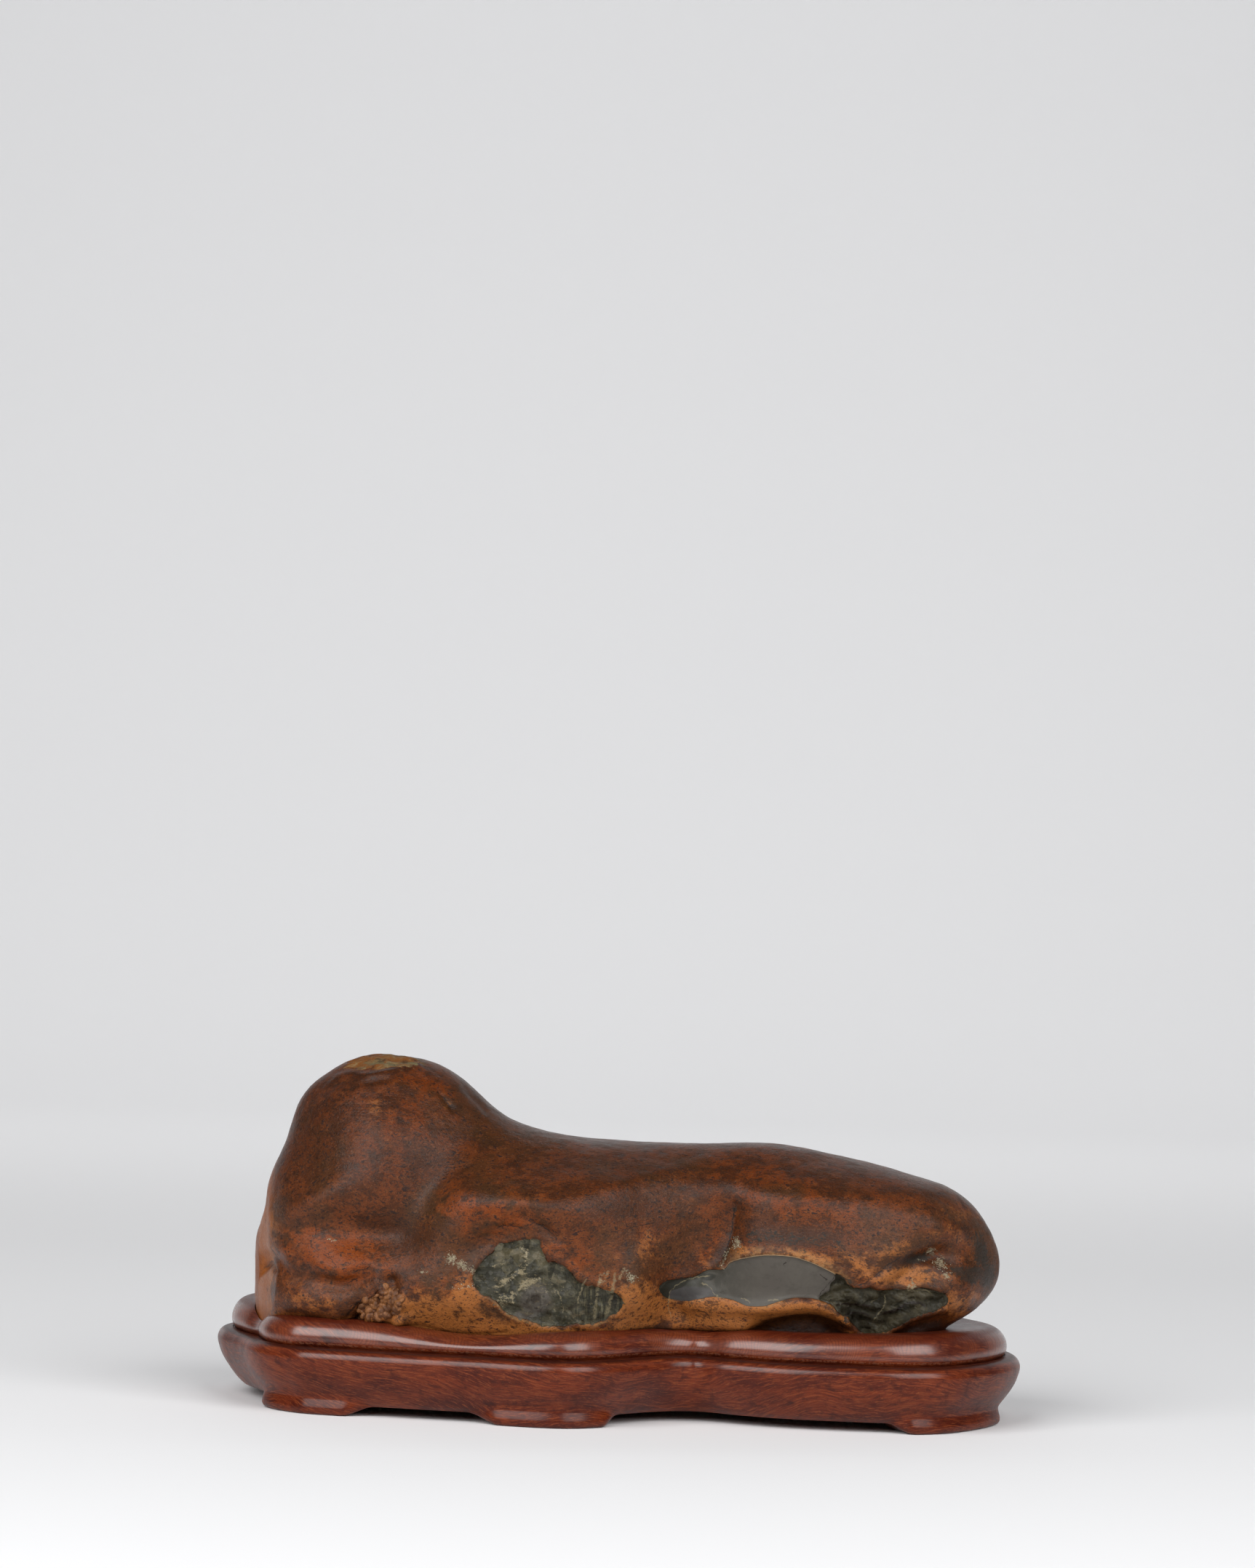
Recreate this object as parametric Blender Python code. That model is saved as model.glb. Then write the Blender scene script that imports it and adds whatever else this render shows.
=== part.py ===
"""A scholar's rock in its carved hardwood stand, as two closed solids at their real size.

The stone is one water-worn piece. It starts as an even ball of quads, which is drawn out to the stone's outline and
depths, planed where it once broke, and then pushed in and out where its lumps, hollows and clefts are.
The stand is one block of wood: a moulding swept round a lobed plan, with six bracket feet, and a seat that is cut
to the stone's own underside.

All sizes below are millimetres. X runs along the stone, -Y is its front and Z is up from the table.
"""

import math

import bmesh
import bpy
import numpy as np

MM = 0.001  # Blender works in metres

# ---------------------------------------------------------------- driving dimensions of the stone

BALL_CUTS = 20  # quads along each side of the ball's six faces
BALL_LEAN = 0.2  # how far they crowd to the front, where the finest forms are
STONE_MIDDLE = (2.0, 66.0)  # x and z of the ball's middle
STONE_HALF = (140.0, 54.0)
STONE_HEART = (-82.0, 66.0)  # x and z that the outline is drawn round, low in the head
STONE_BASE = 27.0  # height of the flat that it sits on
BASE_SOFTNESS = 3.0  # how gently the flat turns up into the sides
CROWN_SQUARENESS = 2.3  # 2 is a round section, more is a squarer one
END_SQUARENESS = 3.8
FOOT_SQUARENESS = 4.6

# The stone's outline from the front, as x and z, from the left end over the top and back under.
OUTLINE = (
    (-139.5, 48), (-139.5, 60), (-134.6, 72), (-133, 84), (-128, 97), (-123.8, 111), (-119.6, 118.5),
    (-113, 124.2), (-104, 129.6), (-92, 132.2), (-80, 131.4), (-70, 128.8), (-60, 122.8), (-49, 113.2),
    (-41, 108.4), (-30, 105.2), (-12, 102.7), (12, 101.8), (34, 101.9), (52, 102.7), (68, 101.3),
    (90, 97), (110, 92), (123, 88), (133, 81), (140.2, 70), (143, 59), (139.4, 48.8),
    (125.4, 37.6), (106, 24), (62, 19), (0, 18), (-62, 18), (-112, 20), (-133, 26), (-138.6, 37),
)  # fmt: skip

# How far the stone reaches at each x, to the front, to the front at its foot and to the back.
STATIONS = (-138, -128, -116, -100, -78, -60, -38, -18, -4, 12, 27, 42, 60, 84, 106, 122, 134, 142)
FRONT_REACH = (12, 30, 37, 41, 44, 48, 52, 54, 51, 43, 37, 38, 44, 47, 46, 41, 30, 18)
FOOT_REACH = (9, 25, 31, 34.5, 40, 43.5, 49, 51, 47.5, 33, 24, 29, 36, 40, 41.5, 38, 26, 14)
BACK_REACH = (36, 42, 46, 50, 52, 50, 47, 44, 43, 43, 44, 47, 48, 47, 43, 38, 33, 28)
FOOT_TOP, WAIST_LOW = 31.0, 50.0  # heights between which the foot's reach gives way

HEAD_TAPER = 0.30  # share of its depth that the head loses from its waist to its top
HEAD_WAIST, HEAD_TOP = 78.0, 132.0

# Old breaks, flat but for their softened edges: outward direction, distance from the origin along it, softness.
BREAKS = (
    ((-0.95, -0.31, -0.03), 128.0, 1.0),  # the left end, up to a sharp upright edge
    ((-0.80, 0.60, 0.06), 124.0, 6.0),  # the left end behind
    ((0.62, 0.77, 0.12), 121.0, 6.0),  # the right end behind
    ((-0.10, 0.84, 0.54), 97.0, 8.0),  # the shoulder of the head behind
)

# Lumps and hollows: the side that they are seen from, the middle and the half sizes there, the turn in degrees and
# the height, which is below 0 for a hollow. The front and back are read in x and z, and the top in x and y.
FORMS = (
    ("front", (-90, 108), (15, 18), 0, 3.6),  # forehead
    ("front", (-117, 98), (10, 20), 8, -2.4),  # fall to the left of it
    ("front", (-113, 78), (17, 6), 28, 3.2),  # ridge that climbs to the forehead
    ("front", (-93, 68), (19, 8), -4, -6.4),  # hollow under the ridge
    ("front", (-101, 55), (16, 5.5), -6, 3.0),  # orange shelf under the hollow
    ("front", (-112, 41), (15, 6), 0, 3.6),  # left toe
    ("front", (-72, 88), (9, 22), -34, -5.2),  # valley between head and haunch
    ("front", (-60, 70), (10, 18), -36, 4.2),  # rise of the haunch
    ("front", (-36, 80), (24, 7), -4, 4.4),  # haunch
    ("front", (-50, 66), (14, 5), 14, -3.0),  # shade below it
    ("front", (-66, 47), (20, 11), 0, 3.4),  # left belly
    ("front", (6, 54), (8, 12), 0, 3.4),  # knob before the middle valley
    ("front", (20, 46), (7, 12), 12, -4.2),  # middle valley
    ("front", (31, 66), (9, 16), -32, -3.8),  # slope into the cleft of the right belly
    ("front", (6, 88), (36, 6), 0, 1.0),  # long ridge of the back
    ("front", (62, 85), (30, 7), -2, 3.0),  # the same, over the right belly
    ("front", (70, 62), (34, 11), 0, 2.8),  # right belly
    ("front", (60, 45), (30, 4), 2, 2.0),  # lip of the right belly
    ("front", (116, 62), (12, 6), 24, -4.6),  # hollow under the arch
    ("front", (120, 75), (15, 5), -20, 2.2),  # arch over that hollow
    ("front", (128, 52), (9, 10), 0, 2.0),  # right toe
    ("top", (-90, -9), (20, 6), 4, -1.2),  # dished crown behind its front edge
    ("top", (-90, -21), (24, 5), 4, 1.2),  # front edge of the crown
    ("back", (-82, 84), (28, 16), 20, 4.0),  # back of the head
    ("back", (-38, 62), (14, 30), -20, -5.0),  # valley behind the head
    ("back", (4, 70), (26, 16), 0, 3.5),  # rear haunch
    ("back", (44, 52), (10, 24), 14, -4.5),  # rear valley
    ("back", (88, 66), (26, 14), -8, 3.0),  # rear belly
    ("back", (118, 46), (14, 8), 0, -3.0),  # rear undercut
)

# Clefts, ledges and edges, each a line seen from the front: its points in x and z, its half width, and its height,
# which is below 0 for a cleft.
LINES = (
    (((-84, 50), (-89, 46), (-95, 42), (-98, 34)), 3.0, -5.0),  # cleft beside the left toe
    (((-124, 51), (-112, 48), (-100, 49), (-92, 53)), 2.8, -2.4),  # crease over the left toe
    (((-136, 50), (-131, 55), (-127, 55)), 3.0, -2.6),  # notch in the left end
    (((-35, 76), (-30, 74), (-23, 69)), 2.4, -1.2),  # nick in the haunch
    (((41, 79), (40, 72), (37, 63), (31, 53)), 5.0, -3.4),  # upright cleft of the right belly
    (((100, 48), (104, 56), (111, 63), (120, 66)), 3.2, -2.4),  # under the arch
)

# A knot of harder stone that stands out of the base like a small cauliflower.
KNOT = ((-91, 44), (-86, 47), (-81, 43), (-86, 39), (-92, 38), (-80, 37))
KNOT_RADIUS, KNOT_HEIGHT = 4.2, 4.4

# Dark stone laid bare, a little below the brown rind: middle, half sizes, turn and depth.
BARE_PATCHES = (
    ((-34, 51), (24, 13), -18, -1.2),
    ((104, 48), (20, 9), -8, -2.2),
)

# ---------------------------------------------------------------- driving dimensions of the stand

GROOVE_INSET = 5.6  # from the widest line of the body to the foot of the rim
BODY_WIDEST = 21.0  # its height
LEDGE_HEIGHT = 25.2
RIM_HEIGHT = 35.6
UNDERSIDE = 3.8  # clear height between the feet
SEAT_GAP = 0.4  # between the stone and the wood that is cut to it

# The foot of the rim in plan, as x and y, from the left end along the front and round the back.
PLAN = (
    (-146.7, 33), (-145.4, 18), (-140.6, 4), (-135.2, -7), (-133.2, -17), (-129.4, -28), (-121.4, -36.8),
    (-109, -41), (-92, -45.8), (-70, -51), (-50, -55), (-33, -60), (-18, -61.1), (-6, -55.5), (6, -44.5), (18, -34.5), (30, -31.2), (43, -38.2), (60, -45.2),
    (80, -48.6), (104, -49.6), (121, -43.5), (134, -29), (142.6, -13), (146.7, 4), (144, 22), (134, 38), (119, 49),
    (100, 56), (78, 54.4), (56, 52.4), (34, 54.6), (8, 59.2), (-18, 60.2), (-44, 57), (-66, 54.8), (-90, 57.8),
    (-112, 59), (-129, 54), (-141, 45.5),
)  # fmt: skip

# The moulding, from the underside up to the top of the rim: inset from the widest line, and height.
MOULDING = (
    (10.5, UNDERSIDE), (9.4, 4.6), (6.6, 7.4), (3.2, 12.0), (0.9, 17.0), (0.0, BODY_WIDEST), (0.9, 23.4),
    (3.2, 24.8), (GROOVE_INSET, LEDGE_HEIGHT), (GROOVE_INSET + 0.9, 24.6), (GROOVE_INSET, 26.4), (5.3, 29.2),
    (6.3, 32.6), (9.0, 35.0), (12.5, RIM_HEIGHT), (17.0, 35.4),
)  # fmt: skip
RIM_START = 10  # first point of MOULDING that belongs to the rim

# The rim's top isn't level. It dips where the stone swells: x and y of the dip, its reach and its depth.
RIM_DIPS = (((-54, -50), 26, 3.6), ((-137, -6), 9, 3.0), ((30, -30), 13, 1.4), ((-12, -58), 14, 0.4))
RIM_RISES = (((118, -30), 34, 1.0), ((112, 52), 16, 9.0), ((-60, 56), 40, 2.4), ((-143, 40), 24, 1.2))

# Feet, each from one x and y on the widest line to another, the way round that the plan is drawn.
FEET = (
    ((-141, -22), (-99, -50)),
    ((-44, -62), (-3, -58)),
    ((106, -55), (151, -2)),
    ((146, 36), (112, 61)),
    ((18, 64), (-26, 66)),
    ((-104, 66), (-150, 46)),
)
FOOT_INSET = 7.8  # of its swelling, from the widest line
NECK_INSET = 10.0  # of the crease above it
FOOT_WIDTH = 15.0  # from its outside in
FOOT_CURVE = 8.0  # length of the bracket curve at each end

STAND_STEPS = 94  # sections round the plan

# ---------------------------------------------------------------- shared tools


def smoothstep(low, high, value):
    """0 below low, 1 above high, and an S curve between them."""
    share = np.clip((value - low) / (high - low), 0.0, 1.0)
    return share * share * (3.0 - 2.0 * share)


def softened(value, softness):
    """value where it is well above 0, 0 where it is well below, and a smooth turn between them."""
    return 0.5 * (value + np.sqrt(value * value + softness * softness))


def curve_through(points, steps_each=24, closed=True):
    """A smooth curve through the points, as many close points."""
    knots = np.array(points, float)
    if closed:
        before, after = np.roll(knots, 1, 0), np.roll(knots, -1, 0)
        starts, ends = knots, after
        last = np.roll(knots, -2, 0)
    else:
        padded = np.vstack([2 * knots[0] - knots[1], knots, 2 * knots[-1] - knots[-2]])
        before, starts, ends, last = padded[:-3], padded[1:-2], padded[2:-1], padded[3:]
    share = np.linspace(0.0, 1.0, steps_each, endpoint=False)[None, :, None]
    before, starts, ends, last = (k[:, None, :] for k in (before, starts, ends, last))
    curve = 0.5 * (
        2 * starts
        + (ends - before) * share
        + (2 * before - 5 * starts + 4 * ends - last) * share**2
        + (3 * starts - before - 3 * ends + last) * share**3
    )
    return curve.reshape(-1, knots.shape[1])


def smooth_value(at, stations, values):
    """The value at each place on a smooth curve through the values at the stations."""
    curve = curve_through(list(zip(stations, values)), closed=False)
    return np.interp(at, curve[:, 0], curve[:, 1])


def object_from(name, points, faces, material):
    """A named object from points in millimetres and their faces."""
    mesh = bpy.data.meshes.new(name)
    mesh.from_pydata([tuple(p) for p in np.asarray(points) * MM], [], faces)
    mesh.validate()
    tidy = bmesh.new()
    tidy.from_mesh(mesh)
    bmesh.ops.recalc_face_normals(tidy, faces=tidy.faces)
    bmesh.ops.triangulate(tidy, faces=tidy.faces)
    tidy.to_mesh(mesh)
    tidy.free()
    mesh.shade_smooth()
    mesh.materials.append(material)
    made = bpy.data.objects.new(name, mesh)
    bpy.context.scene.collection.objects.link(made)
    return made


def finish_of(name, colour, roughness):
    material = bpy.data.materials.new(name)
    material.use_nodes = True
    shader = material.node_tree.nodes["Principled BSDF"]
    shader.inputs["Base Color"].default_value = (*colour, 1.0)
    shader.inputs["Roughness"].default_value = roughness
    shader.inputs["Metallic"].default_value = 0.0
    return material


# ---------------------------------------------------------------- the stone


def even_ball(cuts):
    """A ball of even quads, as unit points and faces: a cube that is divided and blown up."""
    ball = bmesh.new()
    bmesh.ops.create_cube(ball, size=2.0)
    bmesh.ops.subdivide_edges(ball, edges=ball.edges[:], cuts=cuts - 1, use_grid_fill=True)
    points = np.array([v.co for v in ball.verts])
    faces = [[v.index for v in f.verts] for f in ball.faces]
    ball.free()
    points = np.tan(points * math.pi / 4)  # evens out the quads' sizes
    points /= np.linalg.norm(points, axis=1)[:, None]
    points[:, 1] -= BALL_LEAN
    return points / np.linalg.norm(points, axis=1)[:, None], faces


def outline_radius(angle):
    """Distance from the stone's heart to its outline in each direction."""
    curve = curve_through(OUTLINE) - np.array(STONE_HEART)
    angles = np.arctan2(curve[:, 1], curve[:, 0])
    order = np.argsort(angles)
    return np.interp(angle, angles[order], np.hypot(*curve[order].T), period=2 * math.pi)


def seen_from(side, points, ball):
    """The two coordinates that a side is read in, and how squarely each point faces that side."""
    if side == "top":
        return points[:, [0, 1]], smoothstep(0.0, 0.5, ball[:, 2])
    facing = -ball[:, 1] if side == "front" else ball[:, 1]
    return points[:, [0, 2]], smoothstep(-0.15, 0.35, facing)


def swell(flat, middle, sizes, turn):
    """1 at the middle of a lump, falling smoothly to 0 about one and a half half sizes out."""
    away = flat - np.array(middle)
    along, across = math.cos(math.radians(turn)), math.sin(math.radians(turn))
    u = (away[:, 0] * along + away[:, 1] * across) / sizes[0]
    v = (away[:, 1] * along - away[:, 0] * across) / sizes[1]
    return np.exp(-(u * u + v * v))


def distance_to_line(flat, line):
    """Distance from each point to the nearest of a curved line's points."""
    route = curve_through(line, steps_each=10, closed=False)
    return np.sqrt(((flat[:, None, :] - route[None, :, :]) ** 2).sum(2)).min(1)


def share_out(flat):
    """How far each place in the ball's front view lies from the heart towards the rim of the ball, from 0 to 1."""
    half = np.array(STONE_HALF)
    heart = (np.array(STONE_HEART) - np.array(STONE_MIDDLE)) / half
    way = flat / half - heart
    square, across = (way * way).sum(1) + 1e-12, way @ heart
    reach = (np.sqrt(across * across + square * (1.0 - heart @ heart)) - across) / square
    return np.clip(1.0 / reach, 0.0, 1.0)


def drawn_out(ball):
    """The ball drawn out to the stone's outline and its depths."""
    across, depth = np.hypot(ball[:, 0], ball[:, 2]), np.abs(ball[:, 1])
    squareness = END_SQUARENESS + (CROWN_SQUARENESS - END_SQUARENESS) * smoothstep(0.0, 0.8, ball[:, 2])
    squareness += (FOOT_SQUARENESS - END_SQUARENESS) * smoothstep(0.0, -0.6, ball[:, 2])
    size = (depth**squareness + across**squareness) ** (1.0 / squareness)
    flat = ball[:, [0, 2]] / size[:, None] * np.array(STONE_HALF)
    share = share_out(flat)
    way = flat + np.array(STONE_MIDDLE) - np.array(STONE_HEART)
    angle = np.arctan2(way[:, 1], way[:, 0])
    x = STONE_HEART[0] + outline_radius(angle) * share * np.cos(angle)
    z = STONE_HEART[1] + outline_radius(angle) * share * np.sin(angle)
    low = smoothstep(WAIST_LOW, FOOT_TOP, z)
    front = smooth_value(x, STATIONS, FRONT_REACH) * (1.0 - low) + smooth_value(x, STATIONS, FOOT_REACH) * low
    back = smooth_value(x, STATIONS, BACK_REACH) * (1.0 - 0.1 * low)
    deep = (1.0 - share**squareness) ** (1.0 / squareness)
    deep *= 1.0 - HEAD_TAPER * smoothstep(HEAD_WAIST, HEAD_TOP, z)
    y = np.where(ball[:, 1] < 0, -front, back) * deep
    return np.column_stack([x, y, z])


def outward(points):
    """Roughly the way that the stone's surface faces at each point."""
    way = (points - np.array([0.0, 2.0, 64.0])) / np.array([140.0, 48.0, 52.0]) ** 2
    return way / np.linalg.norm(way, axis=1)[:, None]


def planed(points, direction, distance, softness):
    """The points, with what stands beyond a flat break brought back to it."""
    way = np.array(direction) / np.linalg.norm(direction)
    beyond = softened(points @ way - distance, softness)
    return points - beyond[:, None] * way


def stone_points(ball):
    """The stone's surface for the unit points of a ball."""
    points = drawn_out(ball)
    for direction, distance, softness in BREAKS:
        points = planed(points, direction, distance, softness)
    push = np.zeros(len(points))
    for side, middle, sizes, turn, height in FORMS:
        flat, facing = seen_from(side, points, ball)
        push += height * facing * swell(flat, middle, sizes, turn)
    flat, facing = seen_from("front", points, ball)
    for line, half_width, height in LINES:
        push += height * facing * np.exp(-((distance_to_line(flat, line) / half_width) ** 2))
    for middle, sizes, turn, depth in BARE_PATCHES:
        push += depth * facing * smoothstep(0.3, 0.6, swell(flat, middle, sizes, turn))
    lumps = [swell(flat, middle, (KNOT_RADIUS, KNOT_RADIUS), 0) for middle in KNOT]
    push += KNOT_HEIGHT * facing * np.max(lumps, axis=0)
    points = points + push[:, None] * outward(points)
    points[:, 2] = STONE_BASE + softened(points[:, 2] - STONE_BASE, BASE_SOFTNESS)
    return points


def make_stone(name, material):
    ball, faces = even_ball(BALL_CUTS)
    return object_from(name, stone_points(ball), faces, material)


# ---------------------------------------------------------------- the stand


def even_plan(steps):
    """The plan of the rim's foot at even steps, and the way in from it."""
    curve = curve_through(PLAN)
    lengths = np.linalg.norm(np.roll(curve, -1, 0) - curve, axis=1)
    along = np.concatenate([[0.0], np.cumsum(lengths)])
    places = np.linspace(0.0, along[-1], steps, endpoint=False)
    looped = np.vstack([curve, curve[:1]])
    plan = np.column_stack([np.interp(places, along, looped[:, k]) for k in (0, 1)])
    heading = np.roll(plan, -1, 0) - np.roll(plan, 1, 0)
    heading /= np.linalg.norm(heading, axis=1)[:, None]
    return plan, np.column_stack([-heading[:, 1], heading[:, 0]])


def footing(widest):
    """1 where a section of the stand stands on a foot, 0 between the feet, and the bracket curve between."""
    steps = len(widest)
    lengths = np.linalg.norm(np.roll(widest, -1, 0) - widest, axis=1)
    places = np.concatenate([[0.0], np.cumsum(lengths)[:-1]])
    total = lengths.sum()
    share = np.zeros(steps)
    for first, last in FEET:
        start, end = (places[np.argmin(np.linalg.norm(widest - np.array(p), axis=1))] for p in (first, last))
        half = ((end - start) % total) / 2
        away = np.abs((places - start - half + total / 2) % total - total / 2)
        share = np.maximum(share, smoothstep(half + FOOT_CURVE / 2, half - FOOT_CURVE / 2, away))
    return share


def rim_lift(plan):
    """How much higher than its usual height the rim stands at each place."""
    lift = np.zeros(len(plan))
    for sign, places in ((-1.0, RIM_DIPS), (1.0, RIM_RISES)):
        for middle, reach, height in places:
            away = np.linalg.norm(plan - np.array(middle), axis=1)
            lift += sign * height * np.exp(-((away / reach) ** 2))
    return lift


def stand_sections(steps):
    """Rings of points of the uncut stand, from the middle of the underside up and over to the middle of the top."""
    plan, inward = even_plan(steps)
    widest = plan - inward * GROOVE_INSET
    foot = footing(widest)[:, None]
    lift = rim_lift(plan)[:, None]
    spine = np.column_stack([np.clip(widest[:, 0], -85.0, 85.0), np.full(steps, 3.0)])
    to_spine = spine - widest
    to_spine /= np.linalg.norm(to_spine, axis=1)[:, None]

    def ring(inset, height, deep=0.0):
        across = widest + inward * inset + to_spine * deep
        return np.column_stack([across, np.broadcast_to(height, (steps, 1))])

    def blend(plain, footed):
        return plain + (footed - plain) * foot

    rings = [
        ring(10.5, UNDERSIDE, deep=FOOT_WIDTH + 2.0),
        ring(10.5, blend(UNDERSIDE, 0.0), deep=FOOT_WIDTH),
        ring(blend(10.5, FOOT_INSET + 1.2), blend(UNDERSIDE, 0.0)),
        ring(blend(10.1, FOOT_INSET), blend(4.1, 1.2)),
        ring(blend(9.8, FOOT_INSET), blend(4.3, 3.4)),
        ring(blend(9.4, NECK_INSET), blend(4.6, 5.8)),
    ]
    for number, (inset, height) in enumerate(MOULDING[2:], 2):
        rise = smoothstep(LEDGE_HEIGHT, RIM_HEIGHT, height) if number >= RIM_START else 0.0
        rings.append(ring(inset, height + lift * rise))
    rings.append(ring(17.0, 34.4 + lift * 0.5, deep=14.0))
    return rings


def bridged(rings):
    """Points and faces of a solid from closed rings, each bridged to the next, and the first and last filled."""
    steps = len(rings[0])
    faces = []
    for level in range(len(rings) - 1):
        for step in range(steps):
            here, there = level * steps + step, level * steps + (step + 1) % steps
            faces.append((here, there, there + steps, here + steps))
    faces.append(tuple(range(steps)))
    faces.append(tuple(range(len(rings) * steps - 1, (len(rings) - 1) * steps - 1, -1)))
    return np.vstack(rings), faces


def cut_seat(stand, stone):
    """Cuts the stone's own shape from the stand, with a small gap all round."""
    cutter = stone.copy()
    cutter.data = stone.data.copy()
    cutter.name = "seat_cutter"
    bpy.context.scene.collection.objects.link(cutter)
    cutter.hide_render = True
    cutter.display_type = "WIRE"
    swollen = cutter.modifiers.new("gap", "DISPLACE")
    swollen.strength = SEAT_GAP * MM
    swollen.mid_level = 0.0
    seat = stand.modifiers.new("seat", "BOOLEAN")
    seat.operation = "DIFFERENCE"
    seat.object = cutter


def make_stand(name, stone, material):
    points, faces = bridged(stand_sections(STAND_STEPS))
    stand = object_from(name, points, faces, material)
    cut_seat(stand, stone)
    return stand


# ---------------------------------------------------------------- the object


def main():
    for old in list(bpy.data.objects):
        bpy.data.objects.remove(old)
    stone = make_stone("rock", finish_of("brown_rind", (0.20, 0.085, 0.04), 0.45))
    make_stand("wood_stand", stone, finish_of("red_hardwood", (0.13, 0.035, 0.018), 0.30))


main()
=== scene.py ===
"""The looks of a scholar's rock in its carved hardwood stand.

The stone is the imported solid's form drawn again on a fine mesh, with the relief that the solid is too
coarse for: the sunk faces where its dark heart is laid bare, their broken ledges, cracks and clefts. Small
lumps of the same stone are scattered on it, as the knot at its base and as crystals.
The stand is drawn again as a fine moulding swept round its plan, and its seat is cut to the stone's own
underside.

Forms are worked out in millimetres and scaled to metres as each mesh is made. X runs along the stone, -Y is
its front and Z is up from the table.
"""

import math

import bmesh
import bpy
import numpy as np
from mathutils import Matrix, Vector, noise

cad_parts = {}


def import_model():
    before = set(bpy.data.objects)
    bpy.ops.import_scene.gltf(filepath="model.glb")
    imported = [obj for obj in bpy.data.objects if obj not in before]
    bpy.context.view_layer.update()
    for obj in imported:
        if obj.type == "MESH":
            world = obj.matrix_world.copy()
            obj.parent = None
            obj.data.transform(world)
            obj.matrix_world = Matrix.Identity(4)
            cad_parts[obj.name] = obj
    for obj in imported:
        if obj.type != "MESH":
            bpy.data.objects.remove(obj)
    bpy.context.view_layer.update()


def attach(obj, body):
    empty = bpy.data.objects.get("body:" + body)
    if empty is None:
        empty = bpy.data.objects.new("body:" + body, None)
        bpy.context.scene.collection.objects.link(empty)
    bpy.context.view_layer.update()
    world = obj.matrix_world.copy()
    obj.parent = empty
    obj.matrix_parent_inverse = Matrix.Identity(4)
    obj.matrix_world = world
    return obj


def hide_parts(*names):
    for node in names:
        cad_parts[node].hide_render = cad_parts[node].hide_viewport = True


MM = 0.001

# ================================================================ sizes of the stone, in millimetres

STONE_CENTRE, STONE_SPREAD = (0.0, 2.0, 64.0), (140.0, 48.0, 52.0)  # a ball-like shape much as the stone is
BALL_CUTS = (212, 92, 84)  # quads along the ball's faces in x, y and z
BALL_LEAN = 0.3  # how far they crowd to the front
STONE_MIDDLE = (2.0, 66.0)
STONE_HALF = (140.0, 54.0)
STONE_HEART = (-82.0, 66.0)
STONE_BASE = 27.0
BASE_SOFTNESS = 3.0
CROWN_SQUARENESS = 2.3
END_SQUARENESS = 3.8
FOOT_SQUARENESS = 4.6

# The stone's outline from the front, as x and z, from the left end over the top and back under.
OUTLINE = (
    (-139.5, 48), (-139.5, 60), (-134.6, 72), (-133, 84), (-128, 97), (-123.8, 111), (-119.6, 118.5),
    (-113, 124.2), (-104, 129.6), (-92, 132.2), (-80, 131.4), (-70, 128.8), (-60, 122.8), (-49, 113.2),
    (-41, 108.4), (-30, 105.2), (-12, 102.7), (12, 101.8), (34, 101.9), (52, 102.7), (68, 101.3), (90, 97),
    (110, 92), (123, 88), (133, 81), (140.2, 70), (143, 59), (139.4, 48.8), (125.4, 37.6), (106, 24),
    (62, 19), (0, 18), (-62, 18), (-112, 20), (-133, 26), (-138.6, 37),
)  # fmt: skip

# How far the stone reaches at each x, to the front, to the front at its foot and to the back.
STATIONS = (-138, -128, -116, -100, -78, -60, -38, -18, -4, 12, 27, 42, 60, 84, 106, 122, 134, 142)
FRONT_REACH = (12, 30, 37, 41, 44, 48, 52, 54, 51, 43, 37, 38, 44, 47, 46, 41, 30, 18)
FOOT_REACH = (9, 25, 31, 34.5, 40, 43.5, 49, 51, 47.5, 33, 24, 29, 36, 40, 41.5, 38, 26, 14)
BACK_REACH = (36, 42, 46, 50, 52, 50, 47, 44, 43, 43, 44, 47, 48, 47, 43, 38, 33, 28)
FOOT_TOP, WAIST_LOW = 31.0, 50.0

HEAD_TAPER = 0.30
HEAD_WAIST, HEAD_TOP = 78.0, 132.0

# Old breaks: outward direction, distance from the origin along it, softness.
BREAKS = (
    ((-0.95, -0.31, -0.03), 128.0, 1.0),
    ((-0.80, 0.60, 0.06), 124.0, 6.0),
    ((0.62, 0.77, 0.12), 121.0, 6.0),
    ((-0.10, 0.84, 0.54), 97.0, 8.0),
)

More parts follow.
